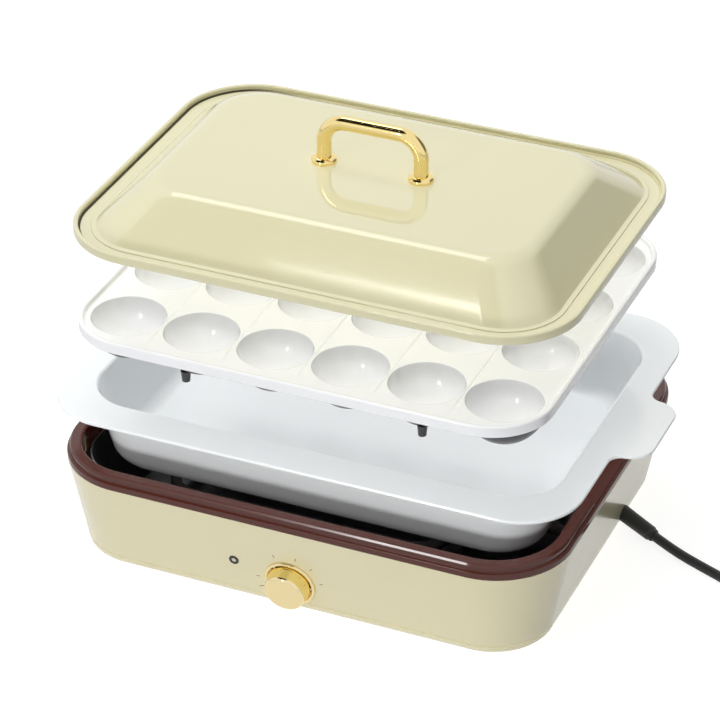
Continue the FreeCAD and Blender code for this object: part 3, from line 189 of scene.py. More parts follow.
def finish_group():
    """Slight unevenness that every painted, moulded and plated surface has: a soft drift of tone,
    and a fine ripple that disturbs the gloss."""
    group = bpy.data.node_groups.new("surface_drift", "ShaderNodeTree")
    for name, kind in (("Tone", "NodeSocketColor"), ("Tone amount", "NodeSocketFloat"),
                       ("Patch size", "NodeSocketFloat"), ("Gloss low", "NodeSocketFloat"),
                       ("Gloss high", "NodeSocketFloat"), ("Ripple size", "NodeSocketFloat")):
        group.interface.new_socket(name, in_out="INPUT", socket_type=kind)
    for name, kind in (("Colour", "NodeSocketColor"), ("Roughness", "NodeSocketFloat"),
                       ("Ripple", "NodeSocketFloat")):
        group.interface.new_socket(name, in_out="OUTPUT", socket_type=kind)
    link = group.links.new
    given = group.nodes.new("NodeGroupInput").outputs
    put_out = group.nodes.new("NodeGroupOutput").inputs
    place = group.nodes.new("ShaderNodeTexCoord")
    patches = group.nodes.new("ShaderNodeTexNoise")
    patches.inputs["Detail"].default_value = 3
    link(place.outputs["Object"], patches.inputs["Vector"])
    link(given["Patch size"], patches.inputs["Scale"])
    drift = passage(group, patches.outputs["Fac"], 0, 1, -1, 1)
    tone = group.nodes.new("ShaderNodeVectorMath")
    tone.operation = "SCALE"
    link(given["Tone"], tone.inputs[0])
    link(reckon(group, "MULTIPLY_ADD", drift, given["Tone amount"], 1), tone.inputs["Scale"])
    link(tone.outputs["Vector"], put_out["Colour"])
    gloss = passage(group, patches.outputs["Fac"], 0.3, 0.7, 0, 1)
    link(given["Gloss low"], gloss.node.inputs["To Min"])
    link(given["Gloss high"], gloss.node.inputs["To Max"])
    link(gloss, put_out["Roughness"])
    ripple = group.nodes.new("ShaderNodeTexNoise")
    ripple.inputs["Detail"].default_value = 2
    link(place.outputs["Object"], ripple.inputs["Vector"])
    link(given["Ripple size"], ripple.inputs["Scale"])
    link(ripple.outputs["Fac"], put_out["Ripple"])
    return group


surface_drift = finish_group()


def material(name, tone, gloss, metallic=0.0, coat=0.0, tone_amount=0.015, patch_size=18, ripple_size=900,
             ripple_depth=0.00002):
    """A finish: its tone, the range of its roughness, and how uneven it is."""
    made = bpy.data.materials.new(name)
    made.use_nodes = True
    tree = made.node_tree
    shader = tree.nodes["Principled BSDF"]
    drift = tree.nodes.new("ShaderNodeGroup")
    drift.node_tree = surface_drift
    for socket, level in (("Tone", tone), ("Tone amount", tone_amount), ("Patch size", patch_size),
                          ("Gloss low", gloss[0]), ("Gloss high", gloss[1]), ("Ripple size", ripple_size)):
        drift.inputs[socket].default_value = level
    bump = tree.nodes.new("ShaderNodeBump")
    bump.inputs["Distance"].default_value = ripple_depth
    tree.links.new(drift.outputs["Ripple"], bump.inputs["Height"])
    tree.links.new(bump.outputs["Normal"], shader.inputs["Normal"])
    tree.links.new(drift.outputs["Colour"], shader.inputs["Base Color"])
    tree.links.new(drift.outputs["Roughness"], shader.inputs["Roughness"])
    shader.inputs["Metallic"].default_value = metallic
    shader.inputs["Coat Weight"].default_value = coat
    return made


def dress(piece, finish, body=None, replaces=()):
    """Give a piece its finish, and say which body it rides on and which CAD nodes it stands for."""
    piece.data.materials.clear()
    piece.data.materials.append(finish)
    if body:
        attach(piece, body)
    if replaces:
        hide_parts(*replaces)


def housing(height, inward=0.0, bend=0.0):
    """A station of the housing's wall at one height."""
    inset = (WALL_TOP - height) * WALL_DRAFT + inward
    return (RING_HALF_X - inset, RING_HALF_Y - inset, CORNER_RADIUS - inset, height, bend)


def carve(piece, cutter):
    """Cut one closed mesh out of another, and drop the cutter."""
    modifier = piece.modifiers.new("cut", "BOOLEAN")
    modifier.operation = "DIFFERENCE"
    modifier.solver = "EXACT"
    modifier.object = cutter
    evaluated = piece.evaluated_get(bpy.context.evaluated_depsgraph_get())
    carved = bpy.data.meshes.new_from_object(evaluated)
    piece.modifiers.clear()
    piece.data = carved
    bpy.data.objects.remove(cutter)
    carved.shade_smooth()
    carved.set_sharp_from_angle(angle=math.radians(30))
    even_shading(piece)


def lathe(name, section, place, steps):
    """Turn a section of (radius, height) points about its own axis, and stand it in its place."""
    mesh = bpy.data.meshes.new(name)
    points = []
    faces = []
    for radius, height in section:
        for step in range(steps):
            angle = 2 * math.pi * step / steps
            points.append(place @ Vector((radius * math.cos(angle), radius * math.sin(angle), height)))
    for ring in range(len(section) - 1):
        for step in range(steps):
            beside = (step + 1) % steps
            faces.append((ring * steps + step, ring * steps + beside,
                          (ring + 1) * steps + beside, (ring + 1) * steps + step))
    mesh.from_pydata(points, [], faces)
    return finished(mesh, name, 35)


def on_front_wall(x, height):
    """Stands a piece on the sloping front wall, its own Z pointing out of the wall."""
    wall_y = MIDDLE_Y - RING_HALF_Y + (WALL_TOP - height) * WALL_DRAFT
    return Matrix.Translation((x, wall_y, height)) @ Matrix.Rotation(math.radians(90) + WALL_SLOPE, 4, "X")


DIAL_HEIGHT = 0.0235
LAMP_X = -0.0355
LAMP_HEIGHT = 0.0309
LAMP_HOLE = 0.003
BEZEL_TAIL_RADIUS = 0.015
DRILL_REACH = 0.02
DRILL_STEPS = 96
FACES_INWARD = -0.3
cream_paint = material("cream_paint", paint(221, 214, 179), (0.16, 0.22), coat=0.4, tone_amount=0.012,
                       ripple_depth=0.000008)
inside_painted_shade = material("inside_painted_shade", paint(58, 40, 34), (0.45, 0.55), tone_amount=0.04)
shell_edge_z = shell_low.z + SHELL_RAISE
base_wall = wall_mesh("base_wall", profile([
    housing(WALL_TOP), housing(shell_edge_z, bend=SHELL_EDGE), housing(shell_edge_z, SHELL_WALL),
    housing(WALL_TOP, SHELL_WALL)]))


def drill(reach, radius, place, steps):
    """A round cutter that goes as far above its place as below it."""
    return lathe("drill", [(0, -reach), (radius, -reach), (radius, reach), (0, reach)], place, steps)


for hole_place, radius in ((on_front_wall(0, DIAL_HEIGHT), BEZEL_TAIL_RADIUS),
                           (on_front_wall(LAMP_X, LAMP_HEIGHT), LAMP_HOLE)):
    carve(base_wall, drill(DRILL_REACH, radius, hole_place, DRILL_STEPS))
dress(base_wall, cream_paint, "base", ["base_shell"])
# The inward-facing faces get a dark brown: painted shade of the hollow under the pan.
base_wall.data.materials.append(inside_painted_shade)
for face in base_wall.data.polygons:
    outward = face.center - Vector((0, MIDDLE_Y, face.center.z))
    if face.normal.dot(outward.normalized()) < FACES_INWARD:
        face.material_index = 1

# Bottom cover. A shallow moulded tray closes the shell from below, its edge rounded towards the table.
# It has the shell's cream finish, and screws hold it to posts in the shell.
COVER_ROUND = 0.0052
COVER_FLOOR_INSET = 0.02
cover_low, cover_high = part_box("bottom_cover")
bottom_tray = wall_mesh("bottom_tray", profile([
    housing(cover_high.z, bend=SHELL_EDGE), housing(cover_low.z, bend=COVER_ROUND),
    housing(cover_low.z, COVER_FLOOR_INSET)], closed=False), closed=False)
dress(bottom_tray, cream_paint, "base", ["bottom_cover"])

# Screws, washers, nut, shaft and feet. The small steel parts are zinc-plated and stay as the solids are;
# the feet are soft black rubber, pushed into the bottom cover.
zinc_steel = material("zinc_steel", paint(172, 174, 178), (0.28, 0.4), metallic=1.0, patch_size=200)
black_rubber = material("black_rubber", paint(30, 30, 31), (0.55, 0.7), tone_amount=0.05, ripple_depth=0.0001)
for name in ("cover_screws", "shield_screws", "dial_shaft", "thermostat_nut", "handle_washers",
             "handle_screws"):
    dress(nodes[name], zinc_steel)
dress(nodes["rubber_feet"], black_rubber)

# Brown ring. A glossy moulded ring with a stepped bead lies on the shell's edge, and its skirt drops inside.
# Its upper edge is finely bevelled, and a shallow notch on each short side leaves room for the pan's ears.
RING_BAND = 0.0093
STEP_HEIGHT = 0.0042
STEP_INSET = 0.0016
BEVEL_DROP = 0.0014
BEVEL_RUN = 0.0009
SKIRT_WALL = 0.0022
RING_SOFT = 0.0005
RING_CRISP = 0.0004
BEAD_ROUND = 0.0008
MOUTH_ROUND = 0.0016
NOTCH_HALF = 0.042
NOTCH_DEPTH = 0.0032
NOTCH_ROUND = 0.006
NOTCH_SPAN = 0.5
brown_gloss = material("brown_gloss", paint(80, 34, 24), (0.1, 0.15), tone_amount=0.03,
                       ripple_size=400, ripple_depth=0.000005)


def ring_station(inset, height, bend=0.0):
    """A station of the ring's section, at its distance from the outer edge."""
    return (RING_HALF_X - inset, RING_HALF_Y - inset, CORNER_RADIUS - inset, height, bend)


brown_ring = wall_mesh("brown_ring", profile([
    ring_station(0, WALL_TOP, RING_SOFT), ring_station(0, WALL_TOP + STEP_HEIGHT, BEAD_ROUND),
    ring_station(STEP_INSET, WALL_TOP + STEP_HEIGHT, RING_CRISP),
    ring_station(STEP_INSET, ring_high.z - BEVEL_DROP, RING_CRISP),
    ring_station(STEP_INSET + BEVEL_RUN, ring_high.z, RING_SOFT),
    ring_station(RING_BAND, ring_high.z, MOUTH_ROUND), ring_station(RING_BAND, ring_low.z, RING_CRISP),
    ring_station(RING_BAND - SKIRT_WALL, ring_low.z, RING_CRISP),
    ring_station(RING_BAND - SKIRT_WALL, WALL_TOP)]))
notch_mesh = bpy.data.meshes.new("notch")
notch_form = bmesh.new()
bmesh.ops.create_cube(notch_form, size=1)
bmesh.ops.scale(notch_form, verts=notch_form.verts, vec=(NOTCH_SPAN, 2 * NOTCH_HALF, 2 * NOTCH_DEPTH))
bmesh.ops.translate(notch_form, verts=notch_form.verts, vec=(0, MIDDLE_Y, ring_high.z))
upright = [edge for edge in notch_form.edges
           if abs(edge.verts[0].co.z - edge.verts[1].co.z) > NOTCH_DEPTH]
bmesh.ops.bevel(notch_form, geom=upright, offset=NOTCH_ROUND, segments=8, affect="EDGES", profile=0.5)
notch_form.to_mesh(notch_mesh)
notch_form.free()
carve(brown_ring, finished(notch_mesh, "notch"))
dress(brown_ring, brown_gloss, "base", ["rim_ring"])

# Heat shield, heating element and clips. A pressed tray of bright sheet lies under the pan, and a
# steel-sheathed element runs round in it on sheet clips. They stay as the solids are, in their own metals.
bright_sheet = material("bright_sheet", paint(150, 151, 152), (0.3, 0.42), metallic=1.0, patch_size=40)
sheath_steel = material("sheath_steel", paint(78, 74, 72), (0.4, 0.55), metallic=0.8, tone_amount=0.12)
for name in ("heat_shield", "element_clips"):
    dress(nodes[name], bright_sheet)
dress(nodes["heating_element"], sheath_steel)

# Inner electrics. The thermostat, the terminal block, the fuse and the sleeved wires are plain moulded pieces
# behind the front wall, out of sight, and the cord clamp holds the lead just inside the right wall.
white_plastic = material("white_plastic", paint(222, 220, 214), (0.4, 0.5))
for name in ("thermostat_body", "terminal_block", "thermal_fuse", "inner_leads"):
    dress(nodes[name], white_plastic)
black_plastic = material("black_plastic", paint(32, 32, 33), (0.35, 0.45), tone_amount=0.04)
dress(nodes["cord_clamp"], black_plastic)

# Bezel and dial. A cup of polished gold metal is let into the wall, and the plain drum of the dial turns in
# it. The drum's side takes a deeper gold than its face: painted reflection of the warm sides it mirrors.


def polished_gold(name, tone, ripple_depth):
    """Gold plating over polished metal, in its own tone."""
    return material(name, tone, (0.06, 0.1), metallic=1.0, tone_amount=0.02, patch_size=60, ripple_size=400,
                    ripple_depth=ripple_depth)


gold = polished_gold("gold", paint(236, 218, 172), 0.000004)
side_gold_painted_reflection = polished_gold("side_gold_painted_reflection", paint(254, 230, 152), 0.000004)
BEZEL_RADIUS = 0.0162
BEZEL_WALL = 0.0021
BEZEL_FLOOR = 0.0012
BEZEL_HEIGHT = 0.0018
BEZEL_DEPTH = 0.0045
BEZEL_ROUND = 0.0009
BEZEL_INNER_ROUND = 0.0004
SHAFT_HOLE = 0.0048
KNOB_RADIUS = 0.0135
KNOB_LIFT = 0.0012
KNOB_LENGTH = 0.0096
KNOB_BEVEL = 0.0014
KNOB_TAPER = 0.0008
KNOB_FOOT = 0.0004
KNOB_EASE = 0.0003
KNOB_CENTRE = 0.004
DIAL_STEPS = 96
FACES_SIDEWAYS = 0.3
dial_place = on_front_wall(0, DIAL_HEIGHT)
mouth = BEZEL_RADIUS - BEZEL_WALL
bezel = lathe("bezel_cup", [
    (SHAFT_HOLE, -BEZEL_DEPTH), (BEZEL_TAIL_RADIUS, -BEZEL_DEPTH), (BEZEL_TAIL_RADIUS, 0), (BEZEL_RADIUS, 0),
    (BEZEL_RADIUS, BEZEL_HEIGHT - BEZEL_ROUND),
    (BEZEL_RADIUS - BEZEL_ROUND / 3, BEZEL_HEIGHT - BEZEL_ROUND / 3),
    (BEZEL_RADIUS - BEZEL_ROUND, BEZEL_HEIGHT), (mouth + BEZEL_INNER_ROUND, BEZEL_HEIGHT),
    (mouth, BEZEL_HEIGHT - BEZEL_INNER_ROUND), (mouth, BEZEL_FLOOR - BEZEL_DEPTH),
    (SHAFT_HOLE, BEZEL_FLOOR - BEZEL_DEPTH)], dial_place, DIAL_STEPS)
dress(bezel, gold, "base", ["knob_bezel"])
top = KNOB_LIFT + KNOB_LENGTH
brow = KNOB_RADIUS - KNOB_TAPER
knob = lathe("dial_drum", [
    (0, KNOB_LIFT), (KNOB_RADIUS - KNOB_FOOT, KNOB_LIFT), (KNOB_RADIUS, KNOB_LIFT + KNOB_FOOT),
    (brow, top - KNOB_BEVEL - KNOB_EASE), (brow - KNOB_EASE, top - KNOB_BEVEL + KNOB_EASE),
    (brow - KNOB_BEVEL + 0.0005, top - KNOB_EASE), (brow - KNOB_BEVEL - 0.0001, top),
    (KNOB_CENTRE, top), (0, top)], dial_place, DIAL_STEPS)
dress(knob, gold, "dial", ["dial_knob"])
# Sideways faces take the deeper gold, a painted reflection on the same plating.
knob.data.materials.append(side_gold_painted_reflection)
dial_way = dial_place.to_3x3() @ Vector((0, 0, 1))
for face in knob.data.polygons:
    if abs(face.normal.dot(dial_way)) < FACES_SIDEWAYS:
        face.material_index = 1

# Dial marks. Six short plain lines are printed on the shell in brown ink, round the bezel. The first one, at
# the lower left, is longer than the others.
MARK_RADIUS = 0.0196
MARK_LENGTH = 0.0022
FIRST_MARK_LENGTH = 0.0034
MARK_HALF = 0.00028
MARK_BELOW = -0.0002
MARK_ABOVE = 0.00005
BLOCK_FACES = ((0, 1, 2, 3), (7, 6, 5, 4), (0, 4, 5, 1), (1, 5, 6, 2), (2, 6, 7, 3), (3, 7, 4, 0))
ink_brown = material("ink_brown", paint(120, 106, 84), (0.4, 0.5), tone_amount=0.04)
marks = bpy.data.meshes.new("dial_marks")
mark_points, mark_faces = [], []
for angle in (205, 183, 116, 76, 46, 13):
    length = MARK_LENGTH if mark_points else FIRST_MARK_LENGTH
    turn = math.radians(angle)
    out_way = Vector((math.cos(turn), math.sin(turn), 0))
    side_way = Vector((-math.sin(turn), math.cos(turn), 0))
    first = len(mark_points)
    for lift in (MARK_BELOW, MARK_ABOVE):
        for reach, side in ((0, -1), (0, 1), (length, 1), (length, -1)):
            point = out_way * (MARK_RADIUS + reach) + side_way * MARK_HALF * side + Vector((0, 0, lift))
            mark_points.append(dial_place @ point)
    mark_faces += [tuple(first + index for index in face) for face in BLOCK_FACES]
marks.from_pydata(mark_points, [], mark_faces)
dress(finished(marks, "dial_marks"), ink_brown, "base")

# Lamp. The power lamp left of the dial is a small pale lens, pressed into a holder of black plastic.
# The holder's collar stands a little proud of the wall.
HOLDER_BORE = 0.0012
HOLDER_TAIL = 0.0028
HOLDER_RIM = 0.0031
HOLDER_DEPTH = 0.004
HOLDER_PROUD = 0.0007
LENS_RADIUS = 0.0018
LENS_DEPTH = 0.003
LAMP_STEPS = 48
lamp_place = on_front_wall(LAMP_X, LAMP_HEIGHT)
lamp_ring = lathe("lamp_ring", [
    (HOLDER_BORE, -HOLDER_DEPTH), (HOLDER_TAIL, -HOLDER_DEPTH), (HOLDER_TAIL, 0), (HOLDER_RIM, 0),
    (HOLDER_RIM, HOLDER_PROUD - 0.0003), (HOLDER_TAIL, HOLDER_PROUD), (LENS_RADIUS + 0.0001, HOLDER_PROUD),
    (LENS_RADIUS, HOLDER_PROUD - 0.0003), (HOLDER_BORE, HOLDER_PROUD - 0.0004)], lamp_place, LAMP_STEPS)
dress(lamp_ring, black_plastic, "base", ["lamp_holder"])
lamp_clear = material("lamp_clear", paint(206, 200, 178), (0.1, 0.14), tone_amount=0.03)
lamp_button = lathe("lamp_button", [
    (0, -LENS_DEPTH), (LENS_RADIUS, -LENS_DEPTH), (LENS_RADIUS, 0.0001), (LENS_RADIUS - 0.0006, 0.0005),
    (0, 0.0006)], lamp_place, LAMP_STEPS)
dress(lamp_button, lamp_clear, "base", ["lamp_lens"])

# Deep pan. It is pressed from sheet metal and coated glossy white all over: a tub with a round floor edge,
# a flat flange and an ear on each short side. It hangs in the ring by its flange.
pan_low, pan_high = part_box("deep_pan")
FLANGE_X = 0.165
FLANGE_Y = 0.1215
FLANGE_CORNER = 0.039
FLANGE_THICK = 0.0024
PAN_X = 0.147
PAN_Y = 0.0975
PAN_CORNER = 0.030
PAN_WALL = 0.0022
PAN_SIDE_INSET = 0.013
PAN_FRONT_INSET = 0.006
PAN_FLOOR_ROUND = 0.012
PAN_MOUTH_ROUND = 0.0022
PAN_MOUTH_BRIM = 0.006
FLOOR_PATCH = (0.02, 0.02, 0.01)
RIM_SOFT = 0.0006
EAR_REACH = 0.0205
EAR_HALF = 0.032
EAR_CORNER = 0.014
EAR_ROOT = 0.008
white_coat = material("white_coat", paint(248, 251, 252), (0.12, 0.18), coat=0.3, tone_amount=0.006,
                      ripple_size=500, ripple_depth=0.000008)
flange_bottom = pan_high.z - FLANGE_THICK


def flange_outline(grow, height):
    """The flange's outline with an ear on each short side, its root corners rounded."""
    points = []
    for side_x, side_y, start in ((1, -1, -90), (1, 1, 0), (-1, 1, 90), (-1, -1, 180)):
        corner = FLANGE_CORNER + grow
        centre_x = side_x * (FLANGE_X - FLANGE_CORNER)
        centre_y = MIDDLE_Y + side_y * (FLANGE_Y - FLANGE_CORNER)
        if side_x * side_y > 0:
            points += ear_side(side_x, side_y, grow, height, leaving=True)
        for step in range(CORNER_STEPS + 1):
            angle = math.radians(start + 90 * step / CORNER_STEPS)
            points.append((centre_x + corner * math.cos(angle), centre_y + corner * math.sin(angle), height))
        if side_x * side_y < 0:
            points += ear_side(side_x, side_y, grow, height, leaving=False)
    return points


def ear_side(side_x, side_y, grow, height, leaving):
    """One side of an ear: round its root, out along it and round its outer corner."""
    steps = 10
    half = EAR_HALF + grow
    outer = EAR_CORNER + grow
    root = EAR_ROOT - grow
    points = []
    for step in range(steps + 1):
        angle = math.radians(90 * step / steps)
        points.append((FLANGE_X + grow + root * (1 - math.cos(angle)), half + root * (1 - math.sin(angle))))
    for step in range(steps + 1):
        angle = math.radians(90 * (1 - step / steps))
        points.append((FLANGE_X + EAR_REACH + grow - outer + outer * math.cos(angle),
                       half - outer + outer * math.sin(angle)))
    placed = [(side_x * x, MIDDLE_Y + side_y * y, height) for x, y in points]
    return placed[::-1] if leaving else placed


def pan_station(lowered, height, outward=0.0, bend=0.0):
    """A station of the tub's wall, from the flange (0) to the floor (1)."""
    return (PAN_X - lowered * PAN_SIDE_INSET + outward, PAN_Y - lowered * PAN_FRONT_INSET + outward,
            PAN_CORNER - lowered * PAN_SIDE_INSET / 2 + outward, height, bend)


def pressed_pan():
    """The flange is bridged to the tub's outer and inner skins, which are closed by their floors."""
    form = bmesh.new()

    def ring(points):
        return [form.verts.new(point) for point in points]

    def open_edges(verts):
        wanted = set(verts)
        return [edge for edge in form.edges if edge.is_boundary and all(v in wanted for v in edge.verts)]

    def skin(first, second):
        for index in range(len(first)):
            beside = (index + 1) % len(first)
            form.faces.new((first[index], first[beside], second[beside], second[index]))

    rims = []
    for shrink, height in ((2, flange_bottom), (0.6, flange_bottom + RIM_SOFT * 0.4),
                           (0, flange_bottom + RIM_SOFT * 1.4), (0, pan_high.z - RIM_SOFT * 1.4),
                           (0.6, pan_high.z - RIM_SOFT * 0.4), (2, pan_high.z)):
        rims.append(ring(flange_outline(-RIM_SOFT * shrink, height)))
    for first, second in zip(rims, rims[1:]):
        skin(first, second)
    floor = pan_low.z
    outer = profile([
        pan_station(0, flange_bottom, PAN_WALL), pan_station(1, floor, PAN_WALL, PAN_FLOOR_ROUND),
        (*FLOOR_PATCH, floor, 0)], closed=False, steps=12)
    inner = profile([
        pan_station(0, pan_high.z, PAN_MOUTH_BRIM), pan_station(0, pan_high.z, bend=PAN_MOUTH_ROUND),
        pan_station(1, floor + PAN_WALL, bend=PAN_FLOOR_ROUND - PAN_WALL),
        (*FLOOR_PATCH, floor + PAN_WALL, 0)], closed=False, steps=12)
    for stations, rim in ((outer, rims[0]), (inner, rims[-1])):
        loops = [ring(outline(*station)) for station in stations]
        for first, second in zip(loops, loops[1:]):
            skin(first, second)
        form.faces.new(loops[-1])
        bmesh.ops.triangle_fill(form, edges=open_edges(loops[0]) + open_edges(rim), use_beauty=True)
    mesh = bpy.data.meshes.new("white_pan")
    form.to_mesh(mesh)
    form.free()
    return finished(mesh, "white_pan", 30)


white_pan = pressed_pan()
dress(white_pan, white_coat, "pan", ["deep_pan"])

# Plate with round cups. One aluminium casting: a flat top with a raised edge and a skirt, rows of round cups
# with softened mouths, shallow score lines between the columns, and four tapered legs. It is coated off-white
# above and dark below, so the cups' undersides and the legs are a second mesh with the dark coat.
plate_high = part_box("cup_plate")[1]
PLATE_X = 0.1467
PLATE_Y = 0.1235
PLATE_CORNER = 0.038
LIP_HEIGHT = 0.003
LIP_WALL = 0.003
PLATE_THICK = 0.0026
SKIRT_DROP = 0.0042
CUP_RADIUS = 0.0224
CUP_WALL = 0.0024
CUP_MOUTH = 0.0005
CUP_CUT = 0.01
CUP_HEM = 5
PITCH_X = 0.047
PITCH_Y = 0.058
SCORE_HALF = 0.0006
SCORE_DEPTH = 0.0007
SCORE_HALF_LENGTH = 0.110
LEG_X = 0.074
LEG_Y = 0.102
LEG_TOP = 0.0182
LEG_DROP = 0.0256
LEG_ROOT_RADIUS = 0.0031
LEG_TIP_RADIUS = 0.0024
LEG_TIP_ROUND = 0.0006
SLAB_PATCH = 0.02
LIP_ROUND = 0.0012
LIP_FILLET = 0.0015
SKIRT_FILLET = 0.001
SKIRT_ROUND = 0.0006
CUP_STEPS = 64
CUP_RINGS = 18
UNDERSIDE_RINGS = 16
LEG_STEPS = 32
plate_top = plate_high.z - LIP_HEIGHT
plate_coat = material("plate_coat", paint(248, 249, 252), (0.16, 0.22), coat=0.7, tone_amount=0.006,
                      ripple_size=500, ripple_depth=0.000008)


def plate_station(inset, height, bend=0.0):
    """A station of the plate's section, at its distance from the outer edge."""
    return (PLATE_X - inset, PLATE_Y - inset, PLATE_CORNER - inset, height, bend)


plate_slab = wall_mesh("plate_slab", profile([
    plate_station(SLAB_PATCH, plate_top - PLATE_THICK),
    plate_station(LIP_WALL, plate_top - PLATE_THICK, SKIRT_FILLET),
    plate_station(LIP_WALL, plate_top - SKIRT_DROP, SKIRT_ROUND),
    plate_station(0, plate_top - SKIRT_DROP, LIP_ROUND), plate_station(0, plate_high.z, LIP_ROUND),
    plate_station(LIP_WALL, plate_high.z, LIP_ROUND), plate_station(LIP_WALL, plate_top, LIP_FILLET),
    plate_station(SLAB_PATCH, plate_top)], closed=False), closed=False)
cup_centres = [((column - 2.5) * PITCH_X, MIDDLE_Y + (row - 1.5) * PITCH_Y)
               for column in range(6) for row in range(4)]
mouth_radius = CUP_RADIUS + CUP_MOUTH


def merged(name, parts):
    """Join several objects' meshes into one object."""
    form = bmesh.new()
    for part in parts:
        form.from_mesh(part.data)
    mesh = bpy.data.meshes.new(name)
    form.to_mesh(mesh)
    form.free()
    for part in parts:
        bpy.data.objects.remove(part)
    return finished(mesh, name)


mouth_cutters = [drill(CUP_CUT, mouth_radius, Matrix.Translation((x, y, plate_top)), CUP_STEPS)
                 for x, y in cup_centres]
carve(plate_slab, merged("mouth_cutters", mouth_cutters))
score_cutters = []
deep = plate_top - SCORE_DEPTH
high = plate_top + SCORE_DEPTH
for line in range(-2, 3):
    score_mesh = bpy.data.meshes.new("score")
    x = line * PITCH_X
    section = ((x - SCORE_HALF * 2, high), (x - SCORE_HALF * 0.3, deep), (x + SCORE_HALF * 0.3, deep),
               (x + SCORE_HALF * 2, high))
    points = [(px, MIDDLE_Y + end * SCORE_HALF_LENGTH, pz) for end in (-1, 1) for px, pz in section]
    score_mesh.from_pydata(points, [], BLOCK_FACES)
    score_cutters.append(finished(score_mesh, "score"))
carve(plate_slab, merged("score_cutters", score_cutters))
cup_section = [(mouth_radius, 0), (mouth_radius - CUP_MOUTH * 0.6, -CUP_MOUTH * 0.2),
               (mouth_radius - CUP_MOUTH * 0.9, -CUP_MOUTH * 0.6)]
start_angle = math.asin(CUP_MOUTH * 1.4 / CUP_RADIUS)
for step in range(CUP_RINGS + 1):
    angle = start_angle + (math.pi / 2 - start_angle) * step / CUP_RINGS
    cup_section.append((CUP_RADIUS * math.cos(angle), -CUP_RADIUS * math.sin(angle)))
shell_radius = CUP_RADIUS + CUP_WALL
shell_section = []
for step in range(UNDERSIDE_RINGS + 1):
    angle = math.radians(CUP_HEM + (90 - CUP_HEM) * step / UNDERSIDE_RINGS)
    shell_section.append((shell_radius * math.cos(angle), -shell_radius * math.sin(angle)))
plate_parts = [plate_slab]
under_parts = []
for x, y in cup_centres:
    place = Matrix.Translation((x, y, plate_top))
    plate_parts.append(lathe("cup_inside", cup_section, place, CUP_STEPS))
    under_parts.append(lathe("cup_outside", shell_section, place, CUP_STEPS))
leg_section = [(LEG_ROOT_RADIUS, -LEG_TOP), (LEG_TIP_RADIUS, 0.0004 - LEG_DROP),
               (LEG_TIP_RADIUS - LEG_TIP_ROUND, -LEG_DROP), (0, -LEG_DROP)]
for side_x in (-1, 1):
    for side_y in (-1, 1):
        place = Matrix.Translation((side_x * LEG_X, MIDDLE_Y + side_y * LEG_Y, plate_top))
        under_parts.append(lathe("leg", leg_section, place, LEG_STEPS))
cup_casting = merged("cup_casting", plate_parts)
dress(cup_casting, plate_coat, "plate", ["cup_plate"])
dark_coat = material("dark_coat", paint(52, 52, 54), (0.25, 0.35), tone_amount=0.04)
cup_undersides = merged("cup_undersides", under_parts)
dress(cup_undersides, dark_coat, "plate")

# Lid. One pressed steel sheet in glossy cream enamel: a raised lip round the edge, a flat ledge with a fine
# step, then the dome with sloping walls and a flat deck. It is hollow below.
lid_low, lid_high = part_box("lid_shell")
LID_X = 0.1554
LID_Y = 0.1155
LID_CORNER = 0.0475
LID_LIP = 0.0058
LID_LIP_WALL = 0.003
LID_LEDGE = 0.0022
LID_CHANNEL = 0.0095
LID_SHEET = 0.0016
DECK_X = 0.118
DECK_Y = 0.069
DECK_CORNER = 0.027
DECK_ROUND = 0.013
DECK_UNDER = 0.0008
DECK_PATCH_INSET = 0.04
DECK_PATCH_CORNER = 0.01
DOME_FOOT = 0.003
STEP_OUT = 0.0022
STEP_UP = 0.0007
STEP_ROUND = 0.0003
LID_EDGE_ROUND = 0.0012
LID_LIP_ROUND = 0.0014
LID_LEDGE_ROUND = 0.0008
LID_CRISP = 0.0004
lid_enamel = material("lid_enamel", paint(220, 215, 178), (0.05, 0.08), coat=0.5, tone_amount=0.008,
                      ripple_size=300, ripple_depth=0.0000006)


def lid_station(inset, height, bend=0.0):
    """A station of the lid's lip and ledge, at its distance from the outer edge."""
    return (LID_X - inset, LID_Y - inset, LID_CORNER - inset, height, bend)


def deck_station(inset, height, bend):
    """A station of the deck's crease, above the sheet or below it."""
    return (DECK_X - inset, DECK_Y - inset, DECK_CORNER - inset, height, bend)


def deck_patch(height):
    """The small loop in the deck's middle that closes the sheet."""
    return (DECK_X - DECK_PATCH_INSET, DECK_Y - DECK_PATCH_INSET, DECK_PATCH_CORNER, height, 0)


foot = LID_LIP_WALL + LID_CHANNEL
ledge_z = lid_low.z + LID_LEDGE
lid_form = wall_mesh("enamelled_lid", profile([
    deck_patch(lid_high.z - LID_SHEET),
    deck_station(DECK_UNDER, lid_high.z - LID_SHEET, DECK_ROUND - LID_SHEET),
    lid_station(foot + LID_SHEET, lid_low.z, 0.001), lid_station(0, lid_low.z, LID_EDGE_ROUND),
    lid_station(0, lid_low.z + LID_LIP, LID_LIP_ROUND),
    lid_station(LID_LIP_WALL, lid_low.z + LID_LIP, LID_LIP_ROUND),
    lid_station(LID_LIP_WALL, ledge_z, LID_LEDGE_ROUND), lid_station(foot - STEP_OUT, ledge_z, LID_CRISP),
    lid_station(foot - STEP_OUT, ledge_z + STEP_UP, STEP_ROUND),
    lid_station(foot + 0.0006, ledge_z + STEP_UP, DOME_FOOT / 2),
    deck_station(0, lid_high.z, DECK_ROUND), deck_patch(lid_high.z)], closed=False, steps=10), closed=False)
dress(lid_form, lid_enamel, "lid", ["lid_shell"])
